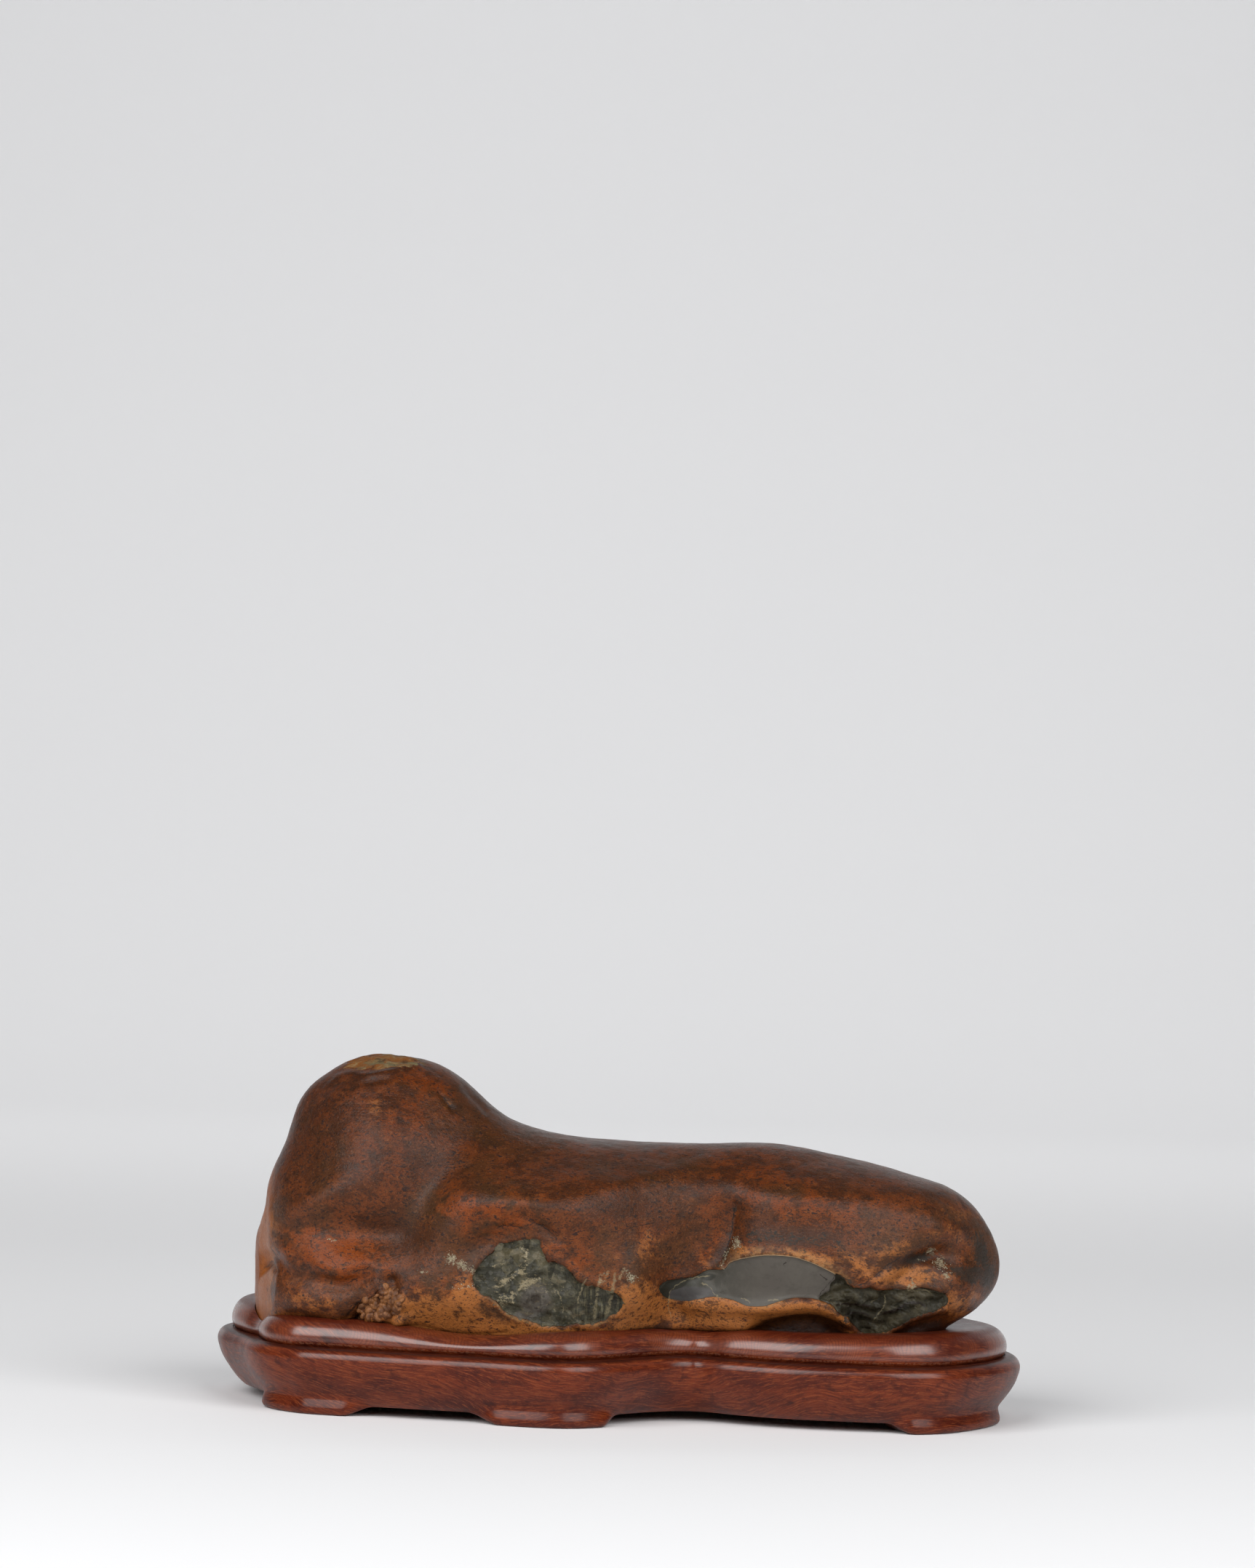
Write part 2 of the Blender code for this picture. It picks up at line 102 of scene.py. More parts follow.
# Lumps and hollows: the side that they are seen from, the middle and the half sizes there, the turn in
# degrees and the height, which is below 0 for a hollow. The front and back are read in x and z, and the top
# in x and y.
FORMS = (
    ("front", (-90, 108), (15, 18), 0, 3.6),  # forehead
    ("front", (-117, 98), (10, 20), 8, -2.4),  # fall to the left of it
    ("front", (-113, 78), (17, 6), 28, 3.2),  # ridge that climbs to the forehead
    ("front", (-93, 68), (19, 8), -4, -6.4),  # hollow under the ridge
    ("front", (-101, 55), (16, 5.5), -6, 3.0),  # orange shelf under the hollow
    ("front", (-112, 41), (15, 6), 0, 3.6),  # left toe
    ("front", (-72, 88), (9, 22), -34, -5.2),  # valley between head and haunch
    ("front", (-60, 70), (10, 18), -36, 4.2),  # rise of the haunch
    ("front", (-36, 80), (24, 7), -4, 4.4),  # haunch
    ("front", (-50, 66), (14, 5), 14, -3.0),  # shade below it
    ("front", (-66, 47), (20, 11), 0, 3.4),  # left belly
    ("front", (6, 54), (8, 12), 0, 3.4),  # swelling before the middle valley
    ("front", (20, 46), (7, 12), 12, -4.2),  # middle valley
    ("front", (31, 66), (9, 16), -32, -3.8),  # slope into the cleft of the right belly
    ("front", (6, 88), (36, 6), 0, 1.0),  # long ridge of the back
    ("front", (62, 85), (30, 7), -2, 3.0),  # the same, over the right belly
    ("front", (70, 62), (34, 11), 0, 2.8),  # right belly
    ("front", (60, 45), (30, 4), 2, 2.0),  # lip of the right belly
    ("front", (116, 62), (12, 6), 24, -4.6),  # hollow under the arch
    ("front", (120, 75), (15, 5), -20, 2.2),  # arch over that hollow
    ("front", (128, 52), (9, 10), 0, 2.0),  # right toe
    ("top", (-90, -9), (20, 6), 4, -1.2),  # dished crown behind its front edge
    ("top", (-90, -21), (24, 5), 4, 1.2),  # front edge of the crown
    ("back", (-82, 84), (28, 16), 20, 4.0),  # back of the head
    ("back", (-38, 62), (14, 30), -20, -5.0),  # valley behind the head
    ("back", (4, 70), (26, 16), 0, 3.5),  # rear haunch
    ("back", (44, 52), (10, 24), 14, -4.5),  # rear valley
    ("back", (88, 66), (26, 14), -8, 3.0),  # rear belly
    ("back", (118, 46), (14, 8), 0, -3.0),  # rear undercut
)

# Clefts, each a line seen from the front: its points in x and z, its half width, and its height.
LINES = (
    (((-84, 50), (-89, 46), (-95, 42), (-98, 34)), 3.0, -5.0),  # cleft beside the left toe
    (((-124, 51), (-112, 48), (-100, 49), (-92, 53)), 2.8, -2.4),  # crease over the left toe
    (((-136, 50), (-131, 55), (-127, 55)), 3.0, -2.6),  # notch in the left end
    (((-35, 76), (-30, 74), (-23, 69)), 2.4, -1.2),  # nick in the haunch
    (((41, 79), (40, 72), (37, 63), (31, 53)), 5.0, -3.4),  # upright cleft of the right belly
    (((100, 48), (104, 56), (111, 63), (120, 66)), 3.2, -2.4),  # under the arch
)

# The swelling that the knot sits on, as the middles of its parts in x and z.
KNOT = ((-91, 44), (-86, 47), (-81, 43), (-86, 39), (-92, 38), (-80, 37))
KNOT_RADIUS, KNOT_HEIGHT = 4.2, 4.4

# ---------------------------------------------------------------- finer relief, which only this mesh has

# Where the dark heart of the stone is laid bare: outlines in x and z, seen from the front.
LEFT_BARE = (
    (-53.5, 54), (-51.5, 58.5), (-48, 61), (-46.5, 64.5), (-44, 66.5), (-38, 67.6), (-31.5, 68),
    (-28.6, 65.5), (-26.5, 61.2), (-21.5, 59), (-19, 56.2), (-15, 54.4), (-11.5, 52.6), (-6, 51.2),
    (-1, 49.6), (1.2, 46), (0.4, 42.8), (-2.4, 40), (-5.4, 38.2), (-12, 37.2), (-20, 36.9), (-29, 36.6),
    (-36, 38.4), (-42.5, 42), (-48, 46.5), (-52.5, 50.5),
)  # fmt: skip
RIGHT_BARE = (
    (15, 50), (17, 52.6), (22, 53.6), (28, 54.6), (33, 57.2), (38.5, 57.8), (41, 60.4), (46, 62.4),
    (53, 63.8), (62, 64), (70, 62.2), (77, 59.2), (81, 56.5), (84, 51), (80, 46.5), (74, 48.4), (66, 49),
    (60, 47.6), (54, 45.6), (48, 45.2), (42, 46.8), (36, 47.6), (30, 46.6), (24, 45.4), (18, 46.4),
)  # fmt: skip
BROKEN = (
    (80, 58), (83, 57), (86, 54), (89, 53), (97, 52), (104, 52.6), (112, 53), (117, 52), (121, 50),
    (122.5, 47.8), (120, 45), (114, 43), (110, 42), (106, 39), (102, 36.8), (96, 35), (90, 36), (87, 38.5),
    (84.5, 41.5), (81.5, 44.5), (76, 48), (74, 49), (77, 52), (79, 56),
)  # fmt: skip

# Worn lines, as LINES are.
FINE_LINES = (
    (((-131, 78), (-130.6, 69), (-129.8, 57), (-127.4, 53.4), (-126.2, 50), (-127, 42), (-127.6, 34)),
     1.3, 0.5),
    (((-136, 47), (-132, 51.4), (-129.8, 53.4), (-127.6, 51)), 0.9, -1.3),  # notch beside the left end's edge
    (((-110, 60.4), (-106, 57.6), (-101.5, 54.5)), 0.9, -0.6),  # the orange shelf's step
    (((-100.4, 48.1), (-98.4, 50.2), (-96.4, 51)), 0.7, -0.7),
    (((-97.9, 53.4), (-94.7, 54.4), (-92, 55.3)), 0.7, -0.6),
    (((-119, 57), (-113, 52), (-106, 48.5), (-99, 47), (-94, 50)), 2.0, -0.9),  # foot of the shelf
    (((-117.5, 45.4), (-115.4, 47.2), (-112.6, 46.6)), 0.9, 0.8),  # scab on the toe
    (((-106, 35), (-102.4, 39), (-99.8, 43.4), (-95, 45.4)), 1.0, 0.8),  # the toe's lip beside the knot
    (((-99.4, 34.4), (-97.6, 37.4)), 1.0, -1.0),  # hole between them
    (((-101.5, 41), (-104.5, 35)), 2.6, 1.4),  # the toe beside it
    (((-88, 47), (-93, 44), (-97, 40.6), (-99.4, 35)), 2.6, 3.2),  # fills most of the cleft again
    (((-70, 120.5), (-66.5, 116.3), (-63.4, 112.6)), 0.9, -0.55),  # dent in the crown's right side
    (((-60, 121), (-55, 116), (-51, 112)), 1.2, -0.7),  # worn line by the shoulder
    (((-109, 122.6), (-103, 124.6), (-96, 124.4), (-89.5, 125.6), (-82.8, 127.4), (-77, 128.6)),
     1.2, 0.9),  # front edge of the crown
    (((-103, 122.8), (-95, 122.6), (-88, 123.8)), 1.0, -0.5),  # shade under its edge
    (((-45.6, 71.8), (-41, 73), (-36.2, 72.3)), 0.6, -0.45),  # nicks over the left bare face
    (((-32, 74.5), (-27.5, 72.5), (-24.5, 70)), 0.6, -0.45),
    (((41.9, 82), (41.6, 76), (40.6, 69), (37, 60)), 1.0, -0.9),  # top of the upright cleft
    (((-80, 33.4), (-72, 33.6), (-62, 31.5), (-52, 31.6), (-40, 33)), 0.8, -0.8),  # worn line along the base
    (((26, 43.5), (40, 44), (52, 44.4), (62, 45.4), (70, 46.4), (78, 44.6), (85, 40)),
     2.2, 1.2),  # lip of the right belly
    (((52, 34.4), (58, 36.2), (64, 38), (70, 38.6), (76, 37.6), (80, 35)), 3.8, -3.0),  # undercut below it
    (((20, 36), (30, 37.2), (40, 38), (49, 37)), 3.8, 2.8),  # its left end, which has none
    (((92, 56), (98, 57), (104, 59.5), (110, 60.5), (118, 60), (126, 55), (131, 49)),
     2.0, 0.8),  # under the arch
    (((88, 54.5), (93, 56.5), (98.5, 61.5), (104, 66)), 0.8, -0.9),  # arch's crack
    (((100, 37), (106, 40.5), (114, 44), (120, 46)), 1.2, 1.0),  # rind below the fracture
    (((104, 34), (112, 38), (122, 40)), 2.6, -2.2),
    (((79, 46.6), (85.8, 47.2), (91.2, 46.2), (95, 47.4)), 1.1, -1.5),  # ledges of the fracture
    (((84, 42), (89, 43.4), (93, 42.4)), 0.9, -1.1),
    (((96.5, 43.2), (103.2, 45.6), (108.5, 48), (114, 46.6)), 1.0, -1.4),
    (((80, 50.8), (86, 52), (92, 50.6)), 0.8, -0.9),
    (((100, 40), (105, 42.6), (110, 43.6)), 0.8, -0.9),
)  # fmt: skip
# Crisp dark lines that are drawn with the colours: cracks, and painted shade in the creases and notches and
# under the broken face's ledges. Each runs steadily along x or z, and ends with its half width.
CRACKS_AND_CREASE_SHADE = (
    (((-113.2, 70.7), (-112.8, 65.4), (-114.4, 64.2)), 0.22),
    (((-114.2, 64), (-113.8, 62), (-111, 60)), 0.25),
    (((-109.6, 59.4), (-106.4, 57.4), (-104, 55.2)), 0.2),
    (((-100.6, 47.8), (-98.6, 50), (-96, 51.2)), 0.26), (((-98, 53.2), (-94.7, 54.4), (-91.6, 55.4)), 0.2),
    (((-101, 36), (-97, 41), (-92, 45.4)), 0.7),
    (((-136, 47.4), (-132, 51.5), (-129.6, 53.6), (-126.8, 50.4)), 0.32),
    (((-4.8, 71.2), (3, 73), (13, 75)), 0.14), (((-45.8, 72), (-41, 73.1), (-36, 72.2)), 0.22),
    (((-32, 74.6), (-27.6, 72.6), (-24, 69.6)), 0.24),
    (((41.9, 81), (41.6, 76), (40.6, 69), (38.4, 63)), 0.3),
    (((88, 54), (93, 56.4), (98.5, 61.4), (105, 65.4)), 0.24), (((60.4, 60.8), (61.4, 61.8)), 0.25),
    (((73.8, 57.8), (76.4, 55.6)), 0.22), (((79.6, 46.4), (86, 46.8), (94, 46)), 0.5),
    (((83.6, 42.2), (88.6, 43.4), (93.6, 42.2)), 0.35),
    (((96.4, 42.8), (103.2, 45), (108.5, 47.4), (114.4, 46)), 0.55),
    (((73.6, 49.6), (76.4, 53.4), (80.4, 58.4)), 0.2), (((79.6, 42.4), (81.4, 40.2), (84.4, 38.6)), 0.25),
    (((-70, 120), (-66.4, 116.2), (-64, 113.4)), 0.3), (((29.6, 42.4), (31.8, 41.4), (34, 39.8)), 0.28),
)  # fmt: skip
PALE_LINES = (
    (((19.8, 38.4), (18.8, 42.6), (18.6, 46.8), (20.1, 49.8)), 0.2),
    (((19.6, 49.4), (23.5, 52.4), (28, 54), (34, 54.8)), 0.22),
    (((30.2, 52.3), (33.6, 50.8), (35.4, 48.6), (39.4, 47.2)), 0.24),
    (((45.1, 47.6), (47, 47.1), (48.8, 46.2)), 0.3), (((55, 46.8), (57.1, 47.9), (60, 46.9)), 0.26),
    (((98.6, 50.4), (98.2, 46.5), (96.1, 43), (94.6, 40.4)), 0.3), (((93, 47.5), (95.8, 48.7)), 0.25),
    (((108.5, 56.6), (108.4, 54), (109.4, 51.6)), 0.3),
    (((109.4, 51.6), (111.6, 52.3), (114, 52.2), (116, 50.6)), 0.34),
    (((-15, 45), (-14, 49.7), (-11.8, 54.8)), 0.35), (((-22.5, 50), (-20.6, 45), (-20.2, 41.4)), 0.22),
    (((-8.6, 38.5), (-8, 48), (-6.4, 56.4)), 0.55), (((-5.2, 53.6), (-4, 57.4)), 0.45),
    (((-4.3, 40), (-2.8, 47), (-1.4, 57)), 0.6), (((0.2, 54), (1.5, 58.6)), 0.5),
)  # fmt: skip

KNOT_ROOM = 1.2  # how far the stone sinks to make room for the knot's lumps
CROWN_MIDDLE, CROWN_HALF = (-92.0, -8.0, 131.0), (17.0, 13.0, 6.0)  # the crust on the crown

# How far each bare face is sunk below the rind, and how far inside its outline that starts and ends.
SUNK = (("left_bare", 1.2, -0.4, 0.8), ("right_bare", 0.7, -0.3, 0.6), ("broken", 2.3, -0.4, 1.2))
LIP_HEIGHT = 0.3  # of the rind round a bare face
LEDGE_STEP, LEDGE_RISE = 4.6, 1.1  # of the broken face
CRUST_HEIGHT = 0.7
RELIEF_START, RELIEF_FULL = 27.5, 31.0  # heights between which the fine relief fades in above the flat base

# Where the stone's colours lie, seen from the front: the middle of a patch in x and z, its half sizes, how
# strong it is, and the degrees that it is turned by, if any. Small lumps grow on the last two.
# Some patches lay painted shade or painted highlights rather than the stone's own colour, as marked below.
PATCHES = {
    "ochre": (
        (-137, 50, 8, 32, 1.35), (-66, 38, 26, 10, 1.05), (-95, 34, 30, 6, 0.5), (-30, 33, 34, 4, 1.3),
        (7, 42, 12, 13, 1), (9, 66, 14, 12, 0.35), (34, 62, 5, 8, 0.5, -32), (50, 42, 40, 6, 1.5),
        (72, 64, 18, 3, 0.65, -10), (90, 60, 16, 7, 0.6, -10), (107, 57.5, 14, 3.6, 1.15),
        (126, 46, 12, 7, 0.65), (44, 65, 8, 2.4, 0.7), (100, 66, 14, 6, 0.5),
        (-92, 113.6, 4, 4.6, 0.62, -20), (-65, 115, 2.6, 2, 0.8), (124, 76, 16, 14, 0.28, -20),
        (-112, 41, 15, 7, 0.45), (-55, 46, 9, 7, 0.8), (76, 40, 10, 4, 0.8, -20),
    ),
    # orange rind, and painted highlights on the haunch and along the ridges of the back
    "orange_and_highlight": (
        (-106, 60, 19, 8, 1.3, -8), (-98, 52, 12, 3, 0.9, 10), (-62, 46, 18, 9, 0.6),
        (-45, 71, 16, 4, 0.45), (-14, 60, 9, 6, 0.7, -20), (-20, 66, 16, 5, 0.45, -20),
        (-112, 41, 12, 5, 0.45), (62, 44, 30, 5, 0.35), (12, 46, 5, 9, 0.3), (-36, 86, 34, 5, 0.3, -4),
        (60, 84, 44, 5, 0.5), (33, 64, 3, 8, 0.8, -30), (48, 93, 44, 5, 0.4, -2),
        (-50, 78, 26, 7, 0.8, -8), (-80, 110, 14, 14, 0.4), (-72, 122, 14, 6, 0.5, -20),
        (108, 66, 8, 4, 0.4),
    ),
    # painted shade: darkening laid in the hollows and valleys and over the upper back
    "hollow_shade": (
        (-80, 68, 17, 9, 0.85, -30), (-74, 88, 9, 22, 0.55, -34), (-78, 74, 6, 12, 0.7, -20),
        (-119, 96, 12, 22, 0.5, 8), (64, 71.5, 26, 5, 0.95), (0, 80, 26, 8, 0.7),
        (20, 60, 7, 8, 0.45, -30), (-50, 64, 12, 5, 0.6, 14), (-125, 75, 10, 10, 0.4),
        (126, 84, 18, 6, 0.25, -30), (40, 64, 4, 6, 1.1, -20), (-108, 37, 14, 3, 0.4),
        (110, 76, 14, 6, 0.2, -14), (100, 92, 40, 7, 0.35, -12), (-104, 78, 14, 8, 0.35, 20),
        (4, 94, 32, 6, 0.5),
    ),
    "pitch": (
        (-48.8, 54, 3.4, 3, 1), (-31.5, 55.3, 3.4, 1.5, 1.1, 10), (-23.8, 57, 3, 1.4, 1.1, -30),
        (-1.8, 45.4, 2.2, 4, 1.3), (21, 51.6, 6, 2.2, 1.2, 22), (17.4, 48.4, 1.8, 3, 1.1, 20),
        (33, 54.6, 4, 1.4, 0.8, 12), (131.5, 57.4, 6, 3.4, 1.5, 10), (135.4, 65, 3, 7, 1.4, 10),
        (137.6, 56, 4, 5, 1.4), (126, 59, 5, 2.4, 1.1), (60, 70, 26, 3.6, 0.55),
        (110, 63.2, 5, 2.4, 1.2, 10), (38.6, 63.6, 2.2, 4, 0.9, -14), (41.9, 80, 1.1, 1.5, 1.2),
        (-17, 46, 3, 8, 0.6), (-10, 44, 2, 6, 0.7), (88, 41, 5, 2.6, 0.9), (104, 43.4, 7, 1.8, 0.9, 24),
        (86, 55, 6, 2, 0.7, -28), (-98.6, 36, 1.6, 1.6, 1.1, 20),
    ),
    # painted shade: dark brown laid in the undercuts, clefts and notches, and along the base where the stone
    # meets the stand
    "recess_shade": (
        (67, 37, 14, 3.4, 2.4, 4), (82, 34, 6, 3, 1, -20), (112, 35.6, 14, 3, 1.2, 10),
        (-99, 36, 2.6, 2, 0.9, 20), (-94, 41, 2, 5, 0.6, -30), (-78, 36, 2, 5, 0.7),
        (-110, 33.4, 18, 1.8, 1), (-132, 51.6, 3.4, 2, 0.9, 30), (36, 61, 3, 7, 0.7, -24),
        (-50, 29.5, 26, 2, 0.8), (12, 34, 12, 2.4, 1), (106, 63.6, 10, 3, 0.8, 10),
    ),
    "steel": (
        (-30.5, 45.5, 7, 7, 1.1), (-34.5, 39.4, 4, 2, 1.2), (26.8, 48.2, 8, 2.6, 1.3, 4),
    ),
    "olive": (
        (-40.8, 61.8, 7.5, 4.4, 1.1), (-28.5, 61, 3.4, 4, 1.1), (110, 50, 9, 3.4, 1),
    ),
    "cream": (
        (-34.6, 62.4, 0.9, 4, 1), (-35.6, 56.8, 2.4, 1.6, 1, 30), (-40.4, 53.6, 5.4, 1.6, 1, 36),
        (-34, 52, 5.4, 1.8, 1.05, 28), (-38.8, 47, 1.4, 3.4, 0.9, -10), (-43, 46, 2.6, 5, 0.75, 10),
        (-24.6, 50, 6, 2.4, 0.5, 10), (-36, 65, 1.4, 1.2, 1.1), (-46.6, 58, 1.8, 1, 0.6),
        (-42.6, 59.4, 1.8, 0.9, 0.7, 30), (108, 53.4, 2.6, 1.6, 0.8), (1.4, 55, 3.2, 4, 0.5),
        (-6.6, 54.6, 1.6, 3, 0.6),
    ),
    "crystals": (
        (-62, 60, 2.4, 2.6, 0.9), (-57.6, 58, 3.2, 1.8, 1, -20), (-54, 56.4, 1.6, 2.2, 0.8),
        (-58, 50, 8, 1.2, 0.55, 10), (43.2, 67.6, 1.7, 2.4, 1, -10), (38.8, 62, 0.8, 5.4, 0.85, -14),
        (115.6, 66, 1.6, 2, 0.9, -40), (119, 61.5, 2.2, 3, 1, -30), (121, 57, 1.8, 1.6, 0.8),
        (111, 62.8, 1.4, 0.8, 0.7), (4.6, 55.2, 2.2, 2.2, 0.85), (-34.8, 63, 0.9, 2.6, 0.8),
        (-39.6, 53.6, 4, 1, 0.6, 36), (-33.4, 52.2, 3.4, 1, 0.6, 28), (-106.4, 64.6, 3, 0.7, 0.6, -22),
        (-72, 55, 2.4, 0.9, 0.6),
    ),
    "knot": (
        (-86.6, 41, 8, 5.6, 1, 8), (-83.6, 45, 4.4, 3.4, 1), (-93, 37.4, 3.4, 3.4, 1),
    ),
}  # fmt: skip

# ================================================================ sizes of the stand, in millimetres

GROOVE_INSET = 5.6
BODY_WIDEST = 21.0
LEDGE_HEIGHT = 25.2
RIM_HEIGHT = 35.6
SEAT_GAP = 0.4

# The foot of the rim in plan, as x and y, from the left end along the front and round the back.
PLAN = (
    (-146.7, 33), (-145.4, 18), (-140.6, 4), (-135.2, -7), (-133.2, -17), (-129.4, -28), (-121.4, -36.8),
    (-109, -41), (-92, -45.8), (-70, -51), (-50, -55), (-33, -60), (-18, -61.1), (-6, -55.5), (6, -44.5),
    (18, -34.5), (30, -31.2), (43, -38.2), (60, -45.2), (80, -48.6), (104, -49.6), (121, -43.5),
    (134, -29), (142.6, -13), (146.7, 4), (144, 22), (134, 38), (119, 49), (100, 56), (78, 54.4),
    (56, 52.4), (34, 54.6), (8, 59.2), (-18, 60.2), (-44, 57), (-66, 54.8), (-90, 57.8), (-112, 59),
    (-129, 54), (-141, 45.5),
)  # fmt: skip

# The moulding, from the middle of the underside up and over to the middle of the top. Each point has its
# inset from the widest line and its height. Those underneath also have how far they go towards the stand's
# spine, and the same three on a foot. Those on the top have how far they go towards the spine.
UNDERNEATH = (
    (10.5, 3.8, 17, 10.5, 3.8, 17), (10.5, 3.8, 16, 10.5, 3.6, 16.6), (10.5, 3.8, 15, 10.5, 0.2, 15.3),
    (10.5, 3.8, 14.5, 10.5, 0, 14.5), (10.5, 3.8, 8, 9.8, 0, 8), (10.5, 3.8, 0.6, 8.6, 0, 0.4),
    (10.4, 3.82, 0, 7.5, 0.05, 0), (10.3, 3.88, 0, 6.6, 0.35, 0), (10.15, 3.98, 0, 6.1, 0.9, 0),
    (10, 4.1, 0, 5.85, 1.6, 0), (9.85, 4.22, 0, 5.85, 2.4, 0), (9.7, 4.35, 0, 6, 3.2, 0),
    (9.5, 4.5, 0, 6.23, 4, 0), (9.2, 4.72, 0, 6.5, 4.8, 0), (8.8, 5.05, 0, 6.76, 5.6, 0),
    (8.2, 5.6, 0, 6.9, 6.3, 0), (7.4, 6.5, 0, 6.8, 7.1, 0), (6.4, 7.7, 0, 6.3, 8.1, 0),
    (5.4, 9, 0, 5.4, 9.3, 0),
)  # fmt: skip
BODY = (
    (4.3, 10.6), (3.2, 12.2), (1.8, 14.6), (0.8, 17.2), (0.15, 19.4), (0.0, BODY_WIDEST), (0.25, 22.3),
    (0.9, 23.5), (1.9, 24.4), (3.2, 24.95), (4.5, 25.15), (5.35, LEDGE_HEIGHT), (5.65, 25.15), (5.8, 24.9),
    (6.15, 24.5), (6.45, 24.7), (6.3, 25.2),
)  # fmt: skip
RIM = (
    (6.0, 25.7), (5.55, 26.4), (5.2, 27.6), (5.25, 29.1), (5.65, 30.7), (6.45, 32.2), (7.6, 33.6),
    (9.2, 34.7), (10.9, 35.35), (12.5, RIM_HEIGHT), (14.5, 35.55), (17.0, 35.4),
)  # fmt: skip
TOP = ((17.0, 35.3, 4.0), (17.0, 34.6, 14.0))

RIM_DIPS = (((-54, -50), 26, 3.6), ((-137, -6), 9, 3.0), ((30, -30), 13, 1.4), ((-12, -58), 14, 0.4))
RIM_RISES = (((118, -30), 34, 1.0), ((112, 52), 16, 9.0), ((-60, 56), 40, 2.4), ((-143, 40), 24, 1.2))

FEET = (
    ((-146, -16), (-97, -50)),
    ((-50, -61), (2, -53)),
    ((106, -55), (151, -2)),
    ((146, 36), (112, 61)),
    ((18, 64), (-26, 66)),
    ((-104, 66), (-150, 46)),
)
FOOT_CURVE = 13.0

STAND_STEPS = 560  # sections round the plan
SPINE_HALF, SPINE_Y = 85.0, 3.0  # the line inside the stand that its moulding closes towards
CREASE = 38.0  # degrees past which an edge of the stand is shown sharp
FULLER_X, FULLER_Y = (-112.0, -124.0), (14.0, 2.0)  # where the body's fullness starts and is whole
FULLNESS = 22  # sections that the body's pinch at the left end is smoothed over

# ================================================================ shared tools


def smoothstep(low, high, value):
    """0 below low, 1 above high, and an S curve between them."""
    share = np.clip((value - low) / (high - low), 0.0, 1.0)
    return share * share * (3.0 - 2.0 * share)


def softened(value, softness):
    """value where it is well above 0, 0 where it is well below, and a smooth turn between them."""
    return 0.5 * (value + np.sqrt(value * value + softness * softness))


def curve_through(points, steps_each=24, closed=True):
    """A smooth curve through the points, as many close points."""
    knots = np.array(points, float)
    if closed:
        before, after = np.roll(knots, 1, 0), np.roll(knots, -1, 0)
        starts, ends = knots, after
        last = np.roll(knots, -2, 0)
    else:
        padded = np.vstack([2 * knots[0] - knots[1], knots, 2 * knots[-1] - knots[-2]])
        before, starts, ends, last = padded[:-3], padded[1:-2], padded[2:-1], padded[3:]
    share = np.linspace(0.0, 1.0, steps_each, endpoint=False)[None, :, None]
    before, starts, ends, last = (k[:, None, :] for k in (before, starts, ends, last))
    curve = 0.5 * (
        2 * starts
        + (ends - before) * share
        + (2 * before - 5 * starts + 4 * ends - last) * share**2
        + (3 * starts - before - 3 * ends + last) * share**3
    )
    return curve.reshape(-1, knots.shape[1])


def smooth_value(at, stations, values):
    """The value at each place on a smooth curve through the values at the stations."""
    curve = curve_through(list(zip(stations, values)), closed=False)
    return np.interp(at, curve[:, 0], curve[:, 1])


def object_from(name, points, faces, edges=()):
    """A named object from points in millimetres, and its faces or edges."""
    mesh = bpy.data.meshes.new(name)
    mesh.from_pydata([tuple(p) for p in np.asarray(points) * MM], edges, faces)
    mesh.validate()
    mesh.shade_smooth()
    made = bpy.data.objects.new(name, mesh)
    bpy.context.scene.collection.objects.link(made)
    return made


def keep(thing, name, values):
    """Keeps a number, or a vector of three, for each point of an object's mesh."""
    values = np.asarray(values, float)
    kind, slot = ("FLOAT_VECTOR", "vector") if values.ndim == 2 else ("FLOAT", "value")
    kept = thing.data.attributes.new(name, kind, "POINT")
    kept.data.foreach_set(slot, np.ascontiguousarray(values, np.float32).ravel())


def rough(points, size, seed=0.0):
    """Smooth noise of the given size at each point, between about -1 and 1."""
    return np.array([noise.noise(Vector(p) / size + Vector((seed, seed, seed))) for p in points])


# ================================================================ sums on node sockets


def on_two(operation, reflected=False):
    """A method of Value: an operation on it and another, or on the other and it."""
    if reflected:
        return lambda value, other: value.worked(operation, other, value)
    return lambda value, other: value.worked(operation, value, other)


def on_one(operation):
    """A method of Value: an operation on it alone."""
    return lambda value: value.worked(operation, value)


class Value:
    """A socket that Python sums can be done on. Each sum adds its Math node, or its Vector Math node."""

    __add__, __radd__ = on_two("ADD"), on_two("ADD", reflected=True)
    __sub__, __rsub__ = on_two("SUBTRACT"), on_two("SUBTRACT", reflected=True)
    __mul__, __rmul__ = on_two("MULTIPLY"), on_two("MULTIPLY", reflected=True)
    __truediv__, __mod__, __pow__ = on_two("DIVIDE"), on_two("FLOORED_MODULO"), on_two("POWER")
    or_less, or_more = on_two("MINIMUM"), on_two("MAXIMUM")
    __abs__, floor, sine = on_one("ABSOLUTE"), on_one("FLOOR"), on_one("SINE")

    def __init__(self, nodes, socket):
        self.nodes, self.socket = nodes, socket
        self.is_vector = socket.type == "VECTOR"

    def worked(self, operation, first, second=0.0):
        """The result of an operation on two values or numbers, as a new value."""
        vectors = [part for part in (first, second) if isinstance(part, Value) and part.is_vector]
        if operation == "MULTIPLY" and len(vectors) == 1 and not isinstance(second, tuple):
            number = second if vectors[0] is first else first
            return self.nodes.node("ShaderNodeVectorMath", {"operation": "SCALE"}, {0: vectors[0], 3: number})
        kind = "ShaderNodeVectorMath" if vectors else "ShaderNodeMath"
        return self.nodes.node(kind, {"operation": operation}, {0: first, 1: second})

    def between(self, low, high):
        """0 where this is at low, 1 where it is at high, and a smooth turn between them."""
        inputs = {"Value": self, "From Min": low, "From Max": high}
        return self.nodes.node("ShaderNodeMapRange", {"interpolation_type": "SMOOTHSTEP"}, inputs)

    def near(self, middle, reach):
        """1 where this is at the middle, falling smoothly to 0 at its reach on either side."""
        return abs(self - middle).between(reach, 0.0)


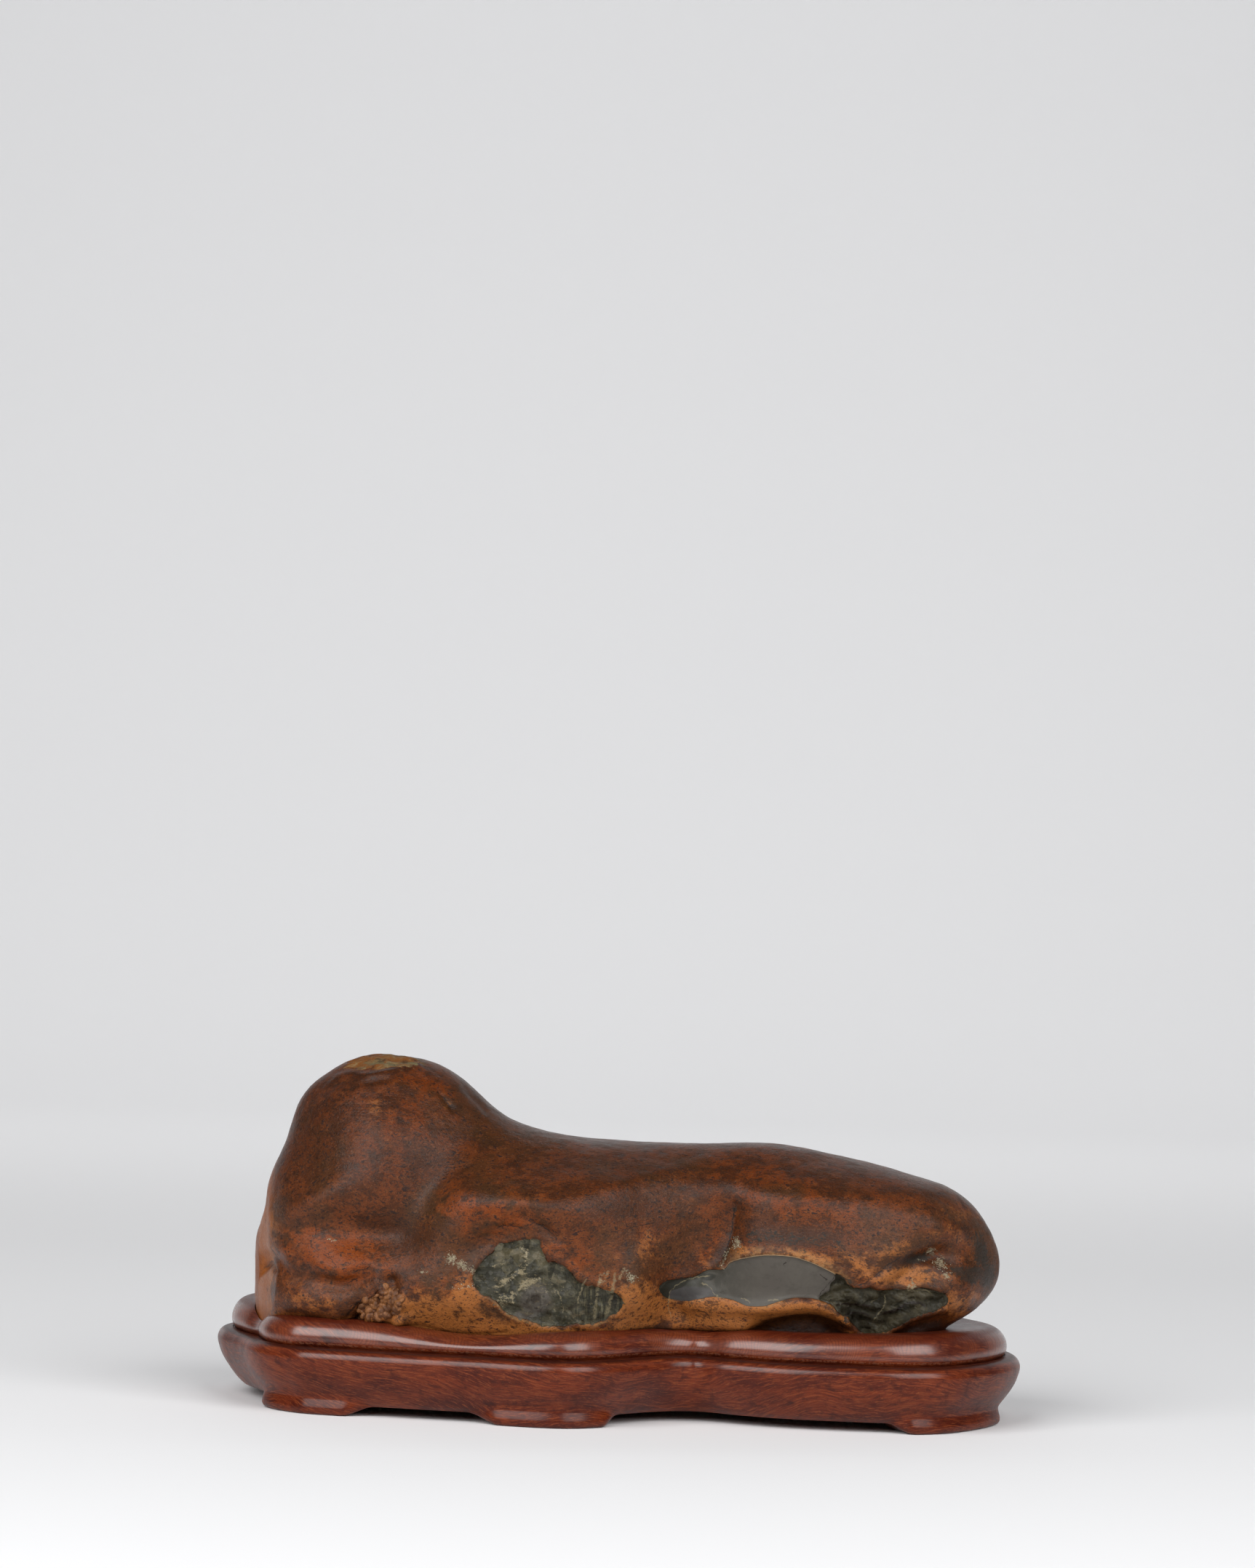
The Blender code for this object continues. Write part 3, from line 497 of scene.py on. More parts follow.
class Nodes:
    """A node tree that is built by asking for one node at a time."""

    def __init__(self, tree):
        self.tree = tree

    def node(self, kind, settings=None, inputs=None, output=0):
        """One output of a new node, its settings made first and then its sockets' values or links."""
        made = self.tree.nodes.new(kind)
        for name, setting in (settings or {}).items():
            setattr(made, name, setting)
        for place, value in (inputs or {}).items():
            self.feed(made.inputs[place], value)
        return Value(self, made.outputs[output])

    def feed(self, socket, value):
        if isinstance(value, Value):
            self.tree.links.new(value.socket, socket)
        else:
            socket.default_value = value


class Finish(Nodes):
    """A procedural material, painted in layers on the piece's own coordinates, in millimetres."""

    def __init__(self, name, **constants):
        self.material = bpy.data.materials.new(name)
        self.material.use_nodes = True
        super().__init__(self.material.node_tree)
        self.shader = self.tree.nodes["Principled BSDF"]
        for socket, value in constants.items():
            self.shader.inputs[socket.replace("_", " ")].default_value = value
        metres = self.node("ShaderNodeTexCoord", output="Object")
        self.place = metres * (1.0 / MM)
        split = self.node("ShaderNodeSeparateXYZ", inputs={0: self.place}).socket.node
        self.x, self.y, self.z = (Value(self, socket) for socket in split.outputs)
        self.line_x, self.line_z = self.x, self.z

    def unsteady(self, size, reach):
        """Makes the lines that are drawn from now on wander by up to about a reach, in millimetres."""
        self.line_x = self.x + (self.noise(size, 3.0, 0.6, seed=61.0) - 0.5) * (reach * 4.0)
        self.line_z = self.z + (self.noise(size, 3.0, 0.6, seed=67.0) - 0.5) * (reach * 4.0)

    def line(self, points, half_width):
        """1 on a thin line, seen from the front, which runs steadily along x or z, and 0 off it."""
        knots = np.array(points, float)
        run = int(np.ptp(knots[:, 1]) > np.ptp(knots[:, 0]))
        knots = knots[np.argsort(knots[:, run])]
        first, last = knots[0, run], knots[-1, run]
        low, high = knots[:, 1 - run].min() - 1.0, knots[:, 1 - run].max() + 1.0
        along, across = (self.line_x, self.line_z) if run == 0 else (self.line_z, self.line_x)
        share = (along - first) * (1.0 / (last - first))
        curve = self.node("ShaderNodeFloatCurve", inputs={"Value": share})
        mapping = curve.socket.node.mapping
        shares = (knots[:, [run, 1 - run]] - (first, low)) / (last - first, high - low)
        spots = [tuple(spot) for spot in shares]
        for _ in spots[2:]:
            mapping.curves[0].points.new(0.5, 0.5)
        for knot, spot in zip(mapping.curves[0].points, spots):
            knot.location = spot
        mapping.update()
        offset = across - (curve * (high - low) + low)
        ends = share.between(-0.02, 0.08) * share.between(1.02, 0.92)
        return abs(offset).between(1.4 * half_width, 0.4 * half_width) * ends

    def lines(self, many):
        """1 on any of many lines."""
        whole = self.line(*many[0])
        for points, half_width in many[1:]:
            whole = whole.or_more(self.line(points, half_width))
        return whole

    def chips(self, size, slope, where=None, seed=0.0):
        """Heights of a surface that is broken into flat chips, each tilted its own way, in millimetres."""
        place = (self.place if where is None else where) + (seed, seed, seed)
        middle = self.node("ShaderNodeTexVoronoi", {}, {"Vector": place, "Scale": 1.0 / size}, "Position")
        chance = Value(self, middle.socket.node.outputs["Color"])
        settings = {"operation": "MULTIPLY_ADD"}
        tilt = self.node("ShaderNodeVectorMath", settings, {0: chance, 1: (2 * slope,) * 3, 2: (-slope,) * 3})
        settings = {"operation": "DOT_PRODUCT"}
        return self.node("ShaderNodeVectorMath", settings, {0: place - middle, 1: tilt}, "Value")

    def attribute(self, name):
        return self.node("ShaderNodeAttribute", {"attribute_name": name}, output="Fac")

    def stretched(self, along, across, up):
        """The piece's coordinates, each divided by a length, so that a pattern on them is stretched by it."""
        return self.place * (1.0 / along, 1.0 / across, 1.0 / up)

    def noise(self, size, detail=2.0, roughness=0.5, where=None, warp=0.0, seed=0.0):
        """Cloudy noise about 0.5, whose largest clouds are about as big as size, in millimetres."""
        inputs = {
            "Vector": (self.place if where is None else where) + (seed, seed, seed),
            "Scale": 1.0 / size,
            "Detail": detail,
            "Roughness": roughness,
            "Distortion": warp,
        }
        return self.node("ShaderNodeTexNoise", {"noise_dimensions": "3D"}, inputs, "Fac")

    def mix(self, share, low, high, blend="MIX"):
        """The colour low where share is 0 and the colour high where it is 1."""
        settings = {"data_type": "RGBA", "blend_type": blend, "clamp_factor": True}
        return self.node("ShaderNodeMix", settings, {0: share, 6: low, 7: high}, 2)

    def paint(self, share, low, high):
        """A paint to lay others over, mixed from two colours, each its three numbers on a screen."""
        return Paint(self, self.mix(share, tone(*low), tone(*high)))

    def bump(self, height):
        """A surface normal for a height in millimetres."""
        inputs = {"Strength": 1.0, "Distance": MM, "Height": height}
        return self.node("ShaderNodeBump", {}, inputs, "Normal")

    def finished(self, **surfaces):
        for socket, value in surfaces.items():
            self.feed(self.shader.inputs[socket.replace("_", " ")], value)
        return self.material


class Paint:
    """A colour that layers are laid over one at a time."""

    def __init__(self, finish, colour):
        self.finish, self.colour = finish, colour

    def lay(self, share, over):
        """Lays another paint, or a colour as its three numbers on a screen, where share is 1."""
        over = over.colour if isinstance(over, Paint) else tone(*over)
        self.colour = self.finish.mix(share, self.colour, over)


def tone(red, green, blue):
    """A colour as its three numbers on a screen, from 0 to 255."""
    channels = [c / 255.0 for c in (red, green, blue)]
    return (*(c / 12.92 if c <= 0.04045 else ((c + 0.055) / 1.055) ** 2.4 for c in channels), 1.0)


def geometry_tree(name, inputs):
    """A Geometry Nodes tree with named inputs, as its builder and a Value for each input."""
    tree = bpy.data.node_groups.new(name, "GeometryNodeTree")
    tree.interface.new_socket("Geometry", in_out="OUTPUT", socket_type="NodeSocketGeometry")
    for label, kind in inputs.items():
        tree.interface.new_socket(label, in_out="INPUT", socket_type="NodeSocket" + kind)
    nodes = Nodes(tree)
    entry = tree.nodes.new("NodeGroupInput")
    return nodes, {label: Value(nodes, entry.outputs[label]) for label in inputs}


def tree_ends(nodes, geometry, finish):
    """Ends a tree as the library's export needs: nothing instanced, and a finish on every face."""
    real = nodes.node("GeometryNodeRealizeInstances", {}, {"Geometry": geometry})
    done = nodes.node("GeometryNodeSetMaterial", {}, {"Geometry": real, "Material": finish})
    nodes.feed(nodes.tree.nodes.new("NodeGroupOutput").inputs[0], done)


def grown(name, start, nodes, values):
    """The mesh that a tree makes from a starting object, as a new object in place of it."""
    modifier = start.modifiers.new("growing", "NODES")
    modifier.node_group = nodes.tree
    for item in nodes.tree.interface.items_tree:
        if item.in_out == "INPUT" and item.name in values:
            modifier[item.identifier] = values[item.name]
    whole = start.evaluated_get(bpy.context.evaluated_depsgraph_get())
    mesh = bpy.data.meshes.new_from_object(whole)
    mesh.name = name
    start.modifiers.remove(modifier)
    made = bpy.data.objects.new(name, mesh)
    bpy.context.scene.collection.objects.link(made)
    bpy.data.objects.remove(start)
    return made


# ================================================================ the stone's form


def even_ball(cuts):
    """A ball of even quads, as unit points and faces: a cube that is divided and blown up."""
    ball = bmesh.new()
    bmesh.ops.create_cube(ball, size=2.0)
    for axis, count in enumerate(cuts):
        rungs = [edge for edge in ball.edges if abs((edge.verts[1].co - edge.verts[0].co)[axis]) > 1e-6]
        bmesh.ops.subdivide_edges(ball, edges=rungs, cuts=count - 1)
    points = np.array([v.co for v in ball.verts])
    faces = [[v.index for v in f.verts] for f in ball.faces]
    ball.free()
    points = np.tan(points * math.pi / 4)  # evens out the quads' sizes
    points /= np.linalg.norm(points, axis=1)[:, None]
    points[:, 1] -= BALL_LEAN
    return points / np.linalg.norm(points, axis=1)[:, None], faces


def outline_radius(angle):
    """Distance from the stone's heart to its outline in each direction."""
    curve = curve_through(OUTLINE) - np.array(STONE_HEART)
    angles = np.arctan2(curve[:, 1], curve[:, 0])
    order = np.argsort(angles)
    return np.interp(angle, angles[order], np.hypot(*curve[order].T), period=2 * math.pi)


def seen_from(side, points, ball):
    """The two coordinates that a side is read in, and how squarely each point faces that side."""
    if side == "top":
        return points[:, [0, 1]], smoothstep(0.0, 0.5, ball[:, 2])
    facing = -ball[:, 1] if side == "front" else ball[:, 1]
    return points[:, [0, 2]], smoothstep(-0.15, 0.35, facing)


def swell(flat, middle, sizes, turn=0.0):
    """1 at the middle of a lump, falling smoothly to 0 about one and a half half sizes out."""
    away = flat - np.array(middle)
    along, across = math.cos(math.radians(turn)), math.sin(math.radians(turn))
    u = (away[:, 0] * along + away[:, 1] * across) / sizes[0]
    v = (away[:, 1] * along - away[:, 0] * across) / sizes[1]
    return np.exp(-(u * u + v * v))


def distance_to_line(flat, line):
    """Distance from each point to the nearest of a curved line's points."""
    route = curve_through(line, steps_each=10, closed=False)
    square = np.full(len(flat), np.inf)
    for spot in route:
        square = np.minimum(square, ((flat - spot) ** 2).sum(1))
    return np.sqrt(square)


def depth_inside(flat, outline):
    """How far each point lies inside a curved closed outline, which is below 0 outside it."""
    route = curve_through(outline, steps_each=5)
    square, inside = np.full(len(flat), np.inf), np.zeros(len(flat), bool)
    for start, end in zip(route, np.roll(route, -1, 0)):
        way = end - start
        share = np.clip(((flat - start) @ way) / (way @ way), 0.0, 1.0)
        square = np.minimum(square, ((flat - start - share[:, None] * way) ** 2).sum(1))
        crosses = (start[1] > flat[:, 1]) != (end[1] > flat[:, 1])
        if way[1]:
            inside ^= crosses & (flat[:, 0] < start[0] + way[0] * (flat[:, 1] - start[1]) / way[1])
    return np.where(inside, 1.0, -1.0) * np.sqrt(square)


def share_out(flat):
    """How far each place in the ball's front view lies from the heart towards the ball's rim, as a share."""
    half = np.array(STONE_HALF)
    heart = (np.array(STONE_HEART) - np.array(STONE_MIDDLE)) / half
    way = flat / half - heart
    square, across = (way * way).sum(1) + 1e-12, way @ heart
    reach = (np.sqrt(across * across + square * (1.0 - heart @ heart)) - across) / square
    return np.clip(1.0 / reach, 0.0, 1.0)


def drawn_out(ball):
    """The ball drawn out to the stone's outline and its depths."""
    across, depth = np.hypot(ball[:, 0], ball[:, 2]), np.abs(ball[:, 1])
    squareness = END_SQUARENESS + (CROWN_SQUARENESS - END_SQUARENESS) * smoothstep(0.0, 0.8, ball[:, 2])
    squareness += (FOOT_SQUARENESS - END_SQUARENESS) * smoothstep(0.0, -0.6, ball[:, 2])
    size = (depth**squareness + across**squareness) ** (1.0 / squareness)
    flat = ball[:, [0, 2]] / size[:, None] * np.array(STONE_HALF)
    share = share_out(flat)
    way = flat + np.array(STONE_MIDDLE) - np.array(STONE_HEART)
    angle = np.arctan2(way[:, 1], way[:, 0])
    x = STONE_HEART[0] + outline_radius(angle) * share * np.cos(angle)
    z = STONE_HEART[1] + outline_radius(angle) * share * np.sin(angle)
    low = smoothstep(WAIST_LOW, FOOT_TOP, z)
    front = smooth_value(x, STATIONS, FRONT_REACH) * (1.0 - low) + smooth_value(x, STATIONS, FOOT_REACH) * low
    back = smooth_value(x, STATIONS, BACK_REACH) * (1.0 - 0.1 * low)
    deep = (1.0 - share**squareness) ** (1.0 / squareness)
    deep *= 1.0 - HEAD_TAPER * smoothstep(HEAD_WAIST, HEAD_TOP, z)
    y = np.where(ball[:, 1] < 0, -front, back) * deep
    return np.column_stack([x, y, z])


def outward(points):
    """Roughly the way that the stone's surface faces at each point."""
    way = (points - np.array(STONE_CENTRE)) / np.array(STONE_SPREAD) ** 2
    return way / np.linalg.norm(way, axis=1)[:, None]


def planed(points, direction, distance, softness):
    """The points, with what stands beyond a flat break brought back to it."""
    way = np.array(direction) / np.linalg.norm(direction)
    beyond = softened(points @ way - distance, softness)
    return points - beyond[:, None] * way


def chipped(flat, size, slope, seed):
    """Heights of a face broken into flat chips: each place lies on the chip whose middle is nearest."""
    chance = np.random.default_rng(seed)
    low, high = flat.min(0), flat.max(0)
    count = int(np.prod((high - low) / size)) + 1
    middles = low + chance.random((count, 2)) * (high - low)
    slopes = chance.normal(0.0, slope, (count, 2))
    steps = chance.normal(0.0, slope * size * 0.3, count)
    nearest, heights = np.full(len(flat), np.inf), np.zeros(len(flat))
    for middle, tilt, step in zip(middles, slopes, steps):
        away = flat - middle
        square = (away**2).sum(1)
        closer = square < nearest
        heights[closer] = (away[closer] @ tilt) + step
        nearest[closer] = square[closer]
    return heights


def stone_marks(points, ball):
    """How deep each point lies inside each bare face and the crown's crust, and how strong each patch is."""
    flat, facing = seen_from("front", points, ball)
    seen = facing > 0.4
    marks = {}
    for name, outline in (("left_bare", LEFT_BARE), ("right_bare", RIGHT_BARE), ("broken", BROKEN)):
        wobble = 1.5 * rough(points[seen], 6.0, 3.0) + 0.8 * rough(points[seen], 2.4, 5.0)
        share = 0.12 if name == "right_bare" else 1.0
        depth = np.full(len(points), -20.0)
        depth[seen] = np.clip(depth_inside(flat[seen], outline) + share * wobble, -20.0, 20.0)
        marks[name] = depth
    away = (points - np.array(CROWN_MIDDLE)) / np.array(CROWN_HALF)
    marks["crown"] = 1.0 - np.linalg.norm(away, axis=1)
    for name, patches in PATCHES.items():
        mark = np.zeros(len(points))
        for x, z, half_x, half_z, amount, *turn in patches:
            mark = np.maximum(mark, amount * swell(flat, (x, z), (half_x, half_z), *turn))
        marks[name] = mark * facing
    return marks


def fine_relief(points, ball, marks):
    """How far the fine mesh stands out from the solid's form at each point."""
    flat, facing = seen_from("front", points, ball)
    left, broken = marks["left_bare"], marks["broken"]
    bare = np.max([marks[name] for name, *_ in SUNK], axis=0)
    rind = smoothstep(0.5, -1.5, bare)
    height = 0.28 * rough(points, 15.0) + 0.13 * rough(points, 5.0, 9.0) + 0.05 * rough(points, 2.2, 4.0)
    height *= rind
    height += LIP_HEIGHT * smoothstep(0.0, -0.5, bare) * smoothstep(-4.0, -0.8, bare)
    for name, depth, start, end in SUNK:
        height -= depth * smoothstep(start, end, marks[name])
    inside = left > -1.0
    chips = chipped(flat[inside], 9.0, 0.07, 11) + chipped(flat[inside], 4.0, 0.08, 12)
    height[inside] += smoothstep(-0.5, 2.0, left[inside]) * chips
    inside = broken > -1.0
    drift = flat[inside, 1] + 0.22 * (flat[inside, 0] - 100.0) + 2.2 * rough(points[inside], 9.0, 2.0)
    ledges = (drift / LEDGE_STEP) % 1.0
    ledges = LEDGE_RISE * (smoothstep(0.0, 0.82, ledges) - smoothstep(0.82, 1.0, ledges)) - 0.5
    chips = chipped(flat[inside], 5.0, 0.16, 13)
    height[inside] += smoothstep(-0.5, 2.0, broken[inside]) * (ledges + chips)
    for line, half_width, rise in FINE_LINES:
        height += rise * facing * np.exp(-((distance_to_line(flat, line) / half_width) ** 2))
    height -= KNOT_ROOM * smoothstep(0.3, 0.8, marks["knot"])
    height += CRUST_HEIGHT * smoothstep(-0.1, 0.3, marks["crown"]) * rough(points, 3.0, 7.0)
    return height


def stone_points(ball):
    """The stone's surface for the unit points of a ball, without its fine relief."""
    points = drawn_out(ball)
    for direction, distance, softness in BREAKS:
        points = planed(points, direction, distance, softness)
    push = np.zeros(len(points))
    for side, middle, sizes, turn, height in FORMS:
        flat, facing = seen_from(side, points, ball)
        push += height * facing * swell(flat, middle, sizes, turn)
    flat, facing = seen_from("front", points, ball)
    for line, half_width, height in LINES:
        push += height * facing * np.exp(-((distance_to_line(flat, line) / half_width) ** 2))
    lumps = [swell(flat, middle, (KNOT_RADIUS, KNOT_RADIUS)) for middle in KNOT]
    push += KNOT_HEIGHT * facing * np.max(lumps, axis=0)
    points = points + push[:, None] * outward(points)
    points[:, 2] = STONE_BASE + softened(points[:, 2] - STONE_BASE, BASE_SOFTNESS)
    return points


def make_stone():
    ball, faces = even_ball(BALL_CUTS)
    points = stone_points(ball)
    stone = object_from("stone", points, faces)
    marks = stone_marks(points, ball)
    relief = fine_relief(points, ball, marks)
    normals = np.zeros(len(points) * 3)
    stone.data.vertex_normals.foreach_get("vector", normals)
    shown = smoothstep(RELIEF_START, RELIEF_FULL, points[:, 2])
    points = points + (relief * shown)[:, None] * normals.reshape(-1, 3)
    points[:, 2] = np.maximum(points[:, 2], STONE_BASE)
    stone.data.vertices.foreach_set("co", (points * MM).ravel())
    stone.data.update()
    for name, values in marks.items():
        keep(stone, name, values)
    return stone


def scatter_tree():
    """Small lumps, scattered unevenly where a surface's mark of a given name is high, and sunk in it."""
    nodes, given = geometry_tree(
        "scattered_lumps",
        {"Surface": "Object", "Mark": "String", "Closeness": "Float", "Cluster": "Float", "Smallest": "Float",
         "Largest": "Float", "Roundness": "Int", "Sunk": "Float", "Seed": "Int", "Finish": "Material"},
    )  # fmt: skip
    surface = nodes.node("GeometryNodeObjectInfo", {}, {"Object": given["Surface"]}, "Geometry")
    mark = nodes.node("GeometryNodeInputNamedAttribute", {"data_type": "FLOAT"}, {"Name": given["Mark"]})
    clouds = nodes.node("ShaderNodeTexNoise", {}, {"Scale": given["Cluster"], "Detail": 3.0}, "Fac")
    chance = (mark + (clouds - 0.5) * 1.6).between(0.35, 0.75) * mark.between(0.05, 0.25)
    inputs = {"Mesh": surface, "Distance Min": given["Closeness"], "Density Max": given["Closeness"] ** -2.0,
              "Density Factor": chance, "Seed": given["Seed"]}  # fmt: skip
    settings = {"distribute_method": "POISSON"}
    points = nodes.node("GeometryNodeDistributePointsOnFaces", settings, inputs, "Points")
    normal = Value(nodes, points.socket.node.outputs["Normal"])
    inputs = {"Geometry": points, "Offset": normal * (given["Sunk"] * -1.0)}
    sunk = nodes.node("GeometryNodeSetPosition", {}, inputs)
    inputs = {"Radius": 1.0, "Subdivisions": given["Roundness"]}
    lump = nodes.node("GeometryNodeMeshIcoSphere", {}, inputs, "Mesh")

    def chosen(low, high):
        inputs = {0: low, 1: high, 8: given["Seed"]}
        return nodes.node("FunctionNodeRandomValue", {"data_type": "FLOAT_VECTOR"}, inputs)

    low, high = (
        nodes.node("ShaderNodeCombineXYZ", {}, {axis: given[label] for axis in "XYZ"})
        for label in ("Smallest", "Largest")
    )
    turns = chosen((0.0,) * 3, (math.tau,) * 3)
    inputs = {"Points": sunk, "Instance": lump, "Rotation": turns, "Scale": chosen(low, high)}
    lumps = nodes.node("GeometryNodeInstanceOnPoints", {}, inputs)
    real = nodes.node("GeometryNodeRealizeInstances", {}, {"Geometry": lumps})
    settings = {"operation": "GREATER_THAN"}
    smooth = nodes.node("FunctionNodeCompare", settings, {"A": given["Roundness"], "B": 1.5})
    shaded = nodes.node("GeometryNodeSetShadeSmooth", {}, {"Geometry": real, "Shade Smooth": smooth})
    tree_ends(nodes, shaded, given["Finish"])
    return nodes


def make_lumps(name, surface, finish, closeness, cluster, sizes, roundness, sunk, seed):
    """A piece of small lumps, where a surface's mark of the same name is high. Lengths are in millimetres."""
    values = {"Surface": surface, "Mark": name, "Closeness": closeness * MM, "Cluster": 1.0 / (cluster * MM),
              "Smallest": sizes[0] * MM, "Largest": sizes[1] * MM, "Roundness": roundness, "Sunk": sunk * MM,
              "Seed": seed, "Finish": finish}  # fmt: skip
    return grown(name, object_from(name + "_start", [(0, 0, 0)], []), scatter_tree(), values)


# ================================================================ the stand's form


def even_plan(steps):
    """The plan of the rim's foot at even steps, and the way in from it."""
    curve = curve_through(PLAN)
    lengths = np.linalg.norm(np.roll(curve, -1, 0) - curve, axis=1)
    along = np.concatenate([[0.0], np.cumsum(lengths)])
    places = np.linspace(0.0, along[-1], steps, endpoint=False)
    looped = np.vstack([curve, curve[:1]])
    plan = np.column_stack([np.interp(places, along, looped[:, k]) for k in (0, 1)])
    heading = np.roll(plan, -1, 0) - np.roll(plan, 1, 0)
    heading /= np.linalg.norm(heading, axis=1)[:, None]
    return plan, np.column_stack([-heading[:, 1], heading[:, 0]])


def footing(widest):
    """1 where a section of the stand stands on a foot, 0 between the feet, and the bracket curve between."""
    steps = len(widest)
    lengths = np.linalg.norm(np.roll(widest, -1, 0) - widest, axis=1)
    places = np.concatenate([[0.0], np.cumsum(lengths)[:-1]])
    total = lengths.sum()
    share = np.zeros(steps)
    for first, last in FEET:
        start, end = (places[np.argmin(np.linalg.norm(widest - np.array(p), axis=1))] for p in (first, last))
        half = ((end - start) % total) / 2
        away = np.abs((places - start - half + total / 2) % total - total / 2)
        share = np.maximum(share, smoothstep(half + FOOT_CURVE / 2, half - FOOT_CURVE / 2, away))
    return share


def rim_lift(plan):
    """How much higher than its usual height the rim stands at each place."""
    lift = np.zeros(len(plan))
    for sign, places in ((-1.0, RIM_DIPS), (1.0, RIM_RISES)):
        for middle, reach, height in places:
            away = np.linalg.norm(plan - np.array(middle), axis=1)
            lift += sign * height * np.exp(-((away / reach) ** 2))
    return lift


def widest_line():
    """The stand's widest line as points, each with its ways in and to the spine, its foot and its lift."""
    plan, inward = even_plan(STAND_STEPS)
    widest = plan - inward * GROOVE_INSET
    spine = np.column_stack([np.clip(widest[:, 0], -SPINE_HALF, SPINE_HALF), np.full(STAND_STEPS, SPINE_Y)])
    to_spine = spine - widest
    to_spine /= np.linalg.norm(to_spine, axis=1)[:, None]
    spread = np.arange(-FULLNESS, FULLNESS + 1)
    weights = np.exp(-((spread / (0.45 * FULLNESS)) ** 2))
    full = sum(weight * np.roll(widest, step, 0) for step, weight in zip(spread, weights)) / weights.sum()
    fuller = (full - widest) * smoothstep(*FULLER_X, widest[:, :1]) * smoothstep(*FULLER_Y, widest[:, 1:])
    flat = np.zeros((STAND_STEPS, 1))
    edges = [(k, k + 1) for k in range(STAND_STEPS - 1)]
    line = object_from("widest_line", np.hstack([widest, flat]), [], edges)
    keep(line, "inward", np.hstack([inward, flat]))
    keep(line, "fuller", np.hstack([fuller, flat]) * MM)
    keep(line, "to_spine", np.hstack([to_spine, flat]))
    keep(line, "foot", footing(widest))
    keep(line, "lift", rim_lift(plan) * MM)
    return line


def moulding_line():
    """The moulding as points of inset, height and depth, each with the same on a foot and its lift."""
    under = np.array(UNDERNEATH, float)
    curves = [curve_through(part, steps_each=2, closed=False) for part in (BODY, RIM)]
    upper = np.vstack([*curves, [RIM[-1]]])
    upper = np.hstack([upper, np.zeros((len(upper), 1))])
    upper = np.vstack([upper, TOP])
    plain = np.vstack([under[0, :3], under[:, :3], upper, upper[-1]])
    footed = np.vstack([under[0, 3:], under[:, 3:], upper, upper[-1]])
    count = len(plain)
    line = object_from("moulding_line", plain, [], [(k, k + 1) for k in range(count - 1)])
    keep(line, "footed", footed * MM)
    keep(line, "rise", smoothstep(LEDGE_HEIGHT, RIM_HEIGHT, plain[:, 1]))
    keep(line, "pole", [1.0] + [0.0] * (count - 2) + [1.0])
    on_body = smoothstep(GROOVE_INSET, 3.0, plain[:, 0]) * (plain[:, 1] < LEDGE_HEIGHT + 0.1)
    keep(line, "body", np.where(plain[:, 1] < BODY_WIDEST, 1.0, on_body))
    return line


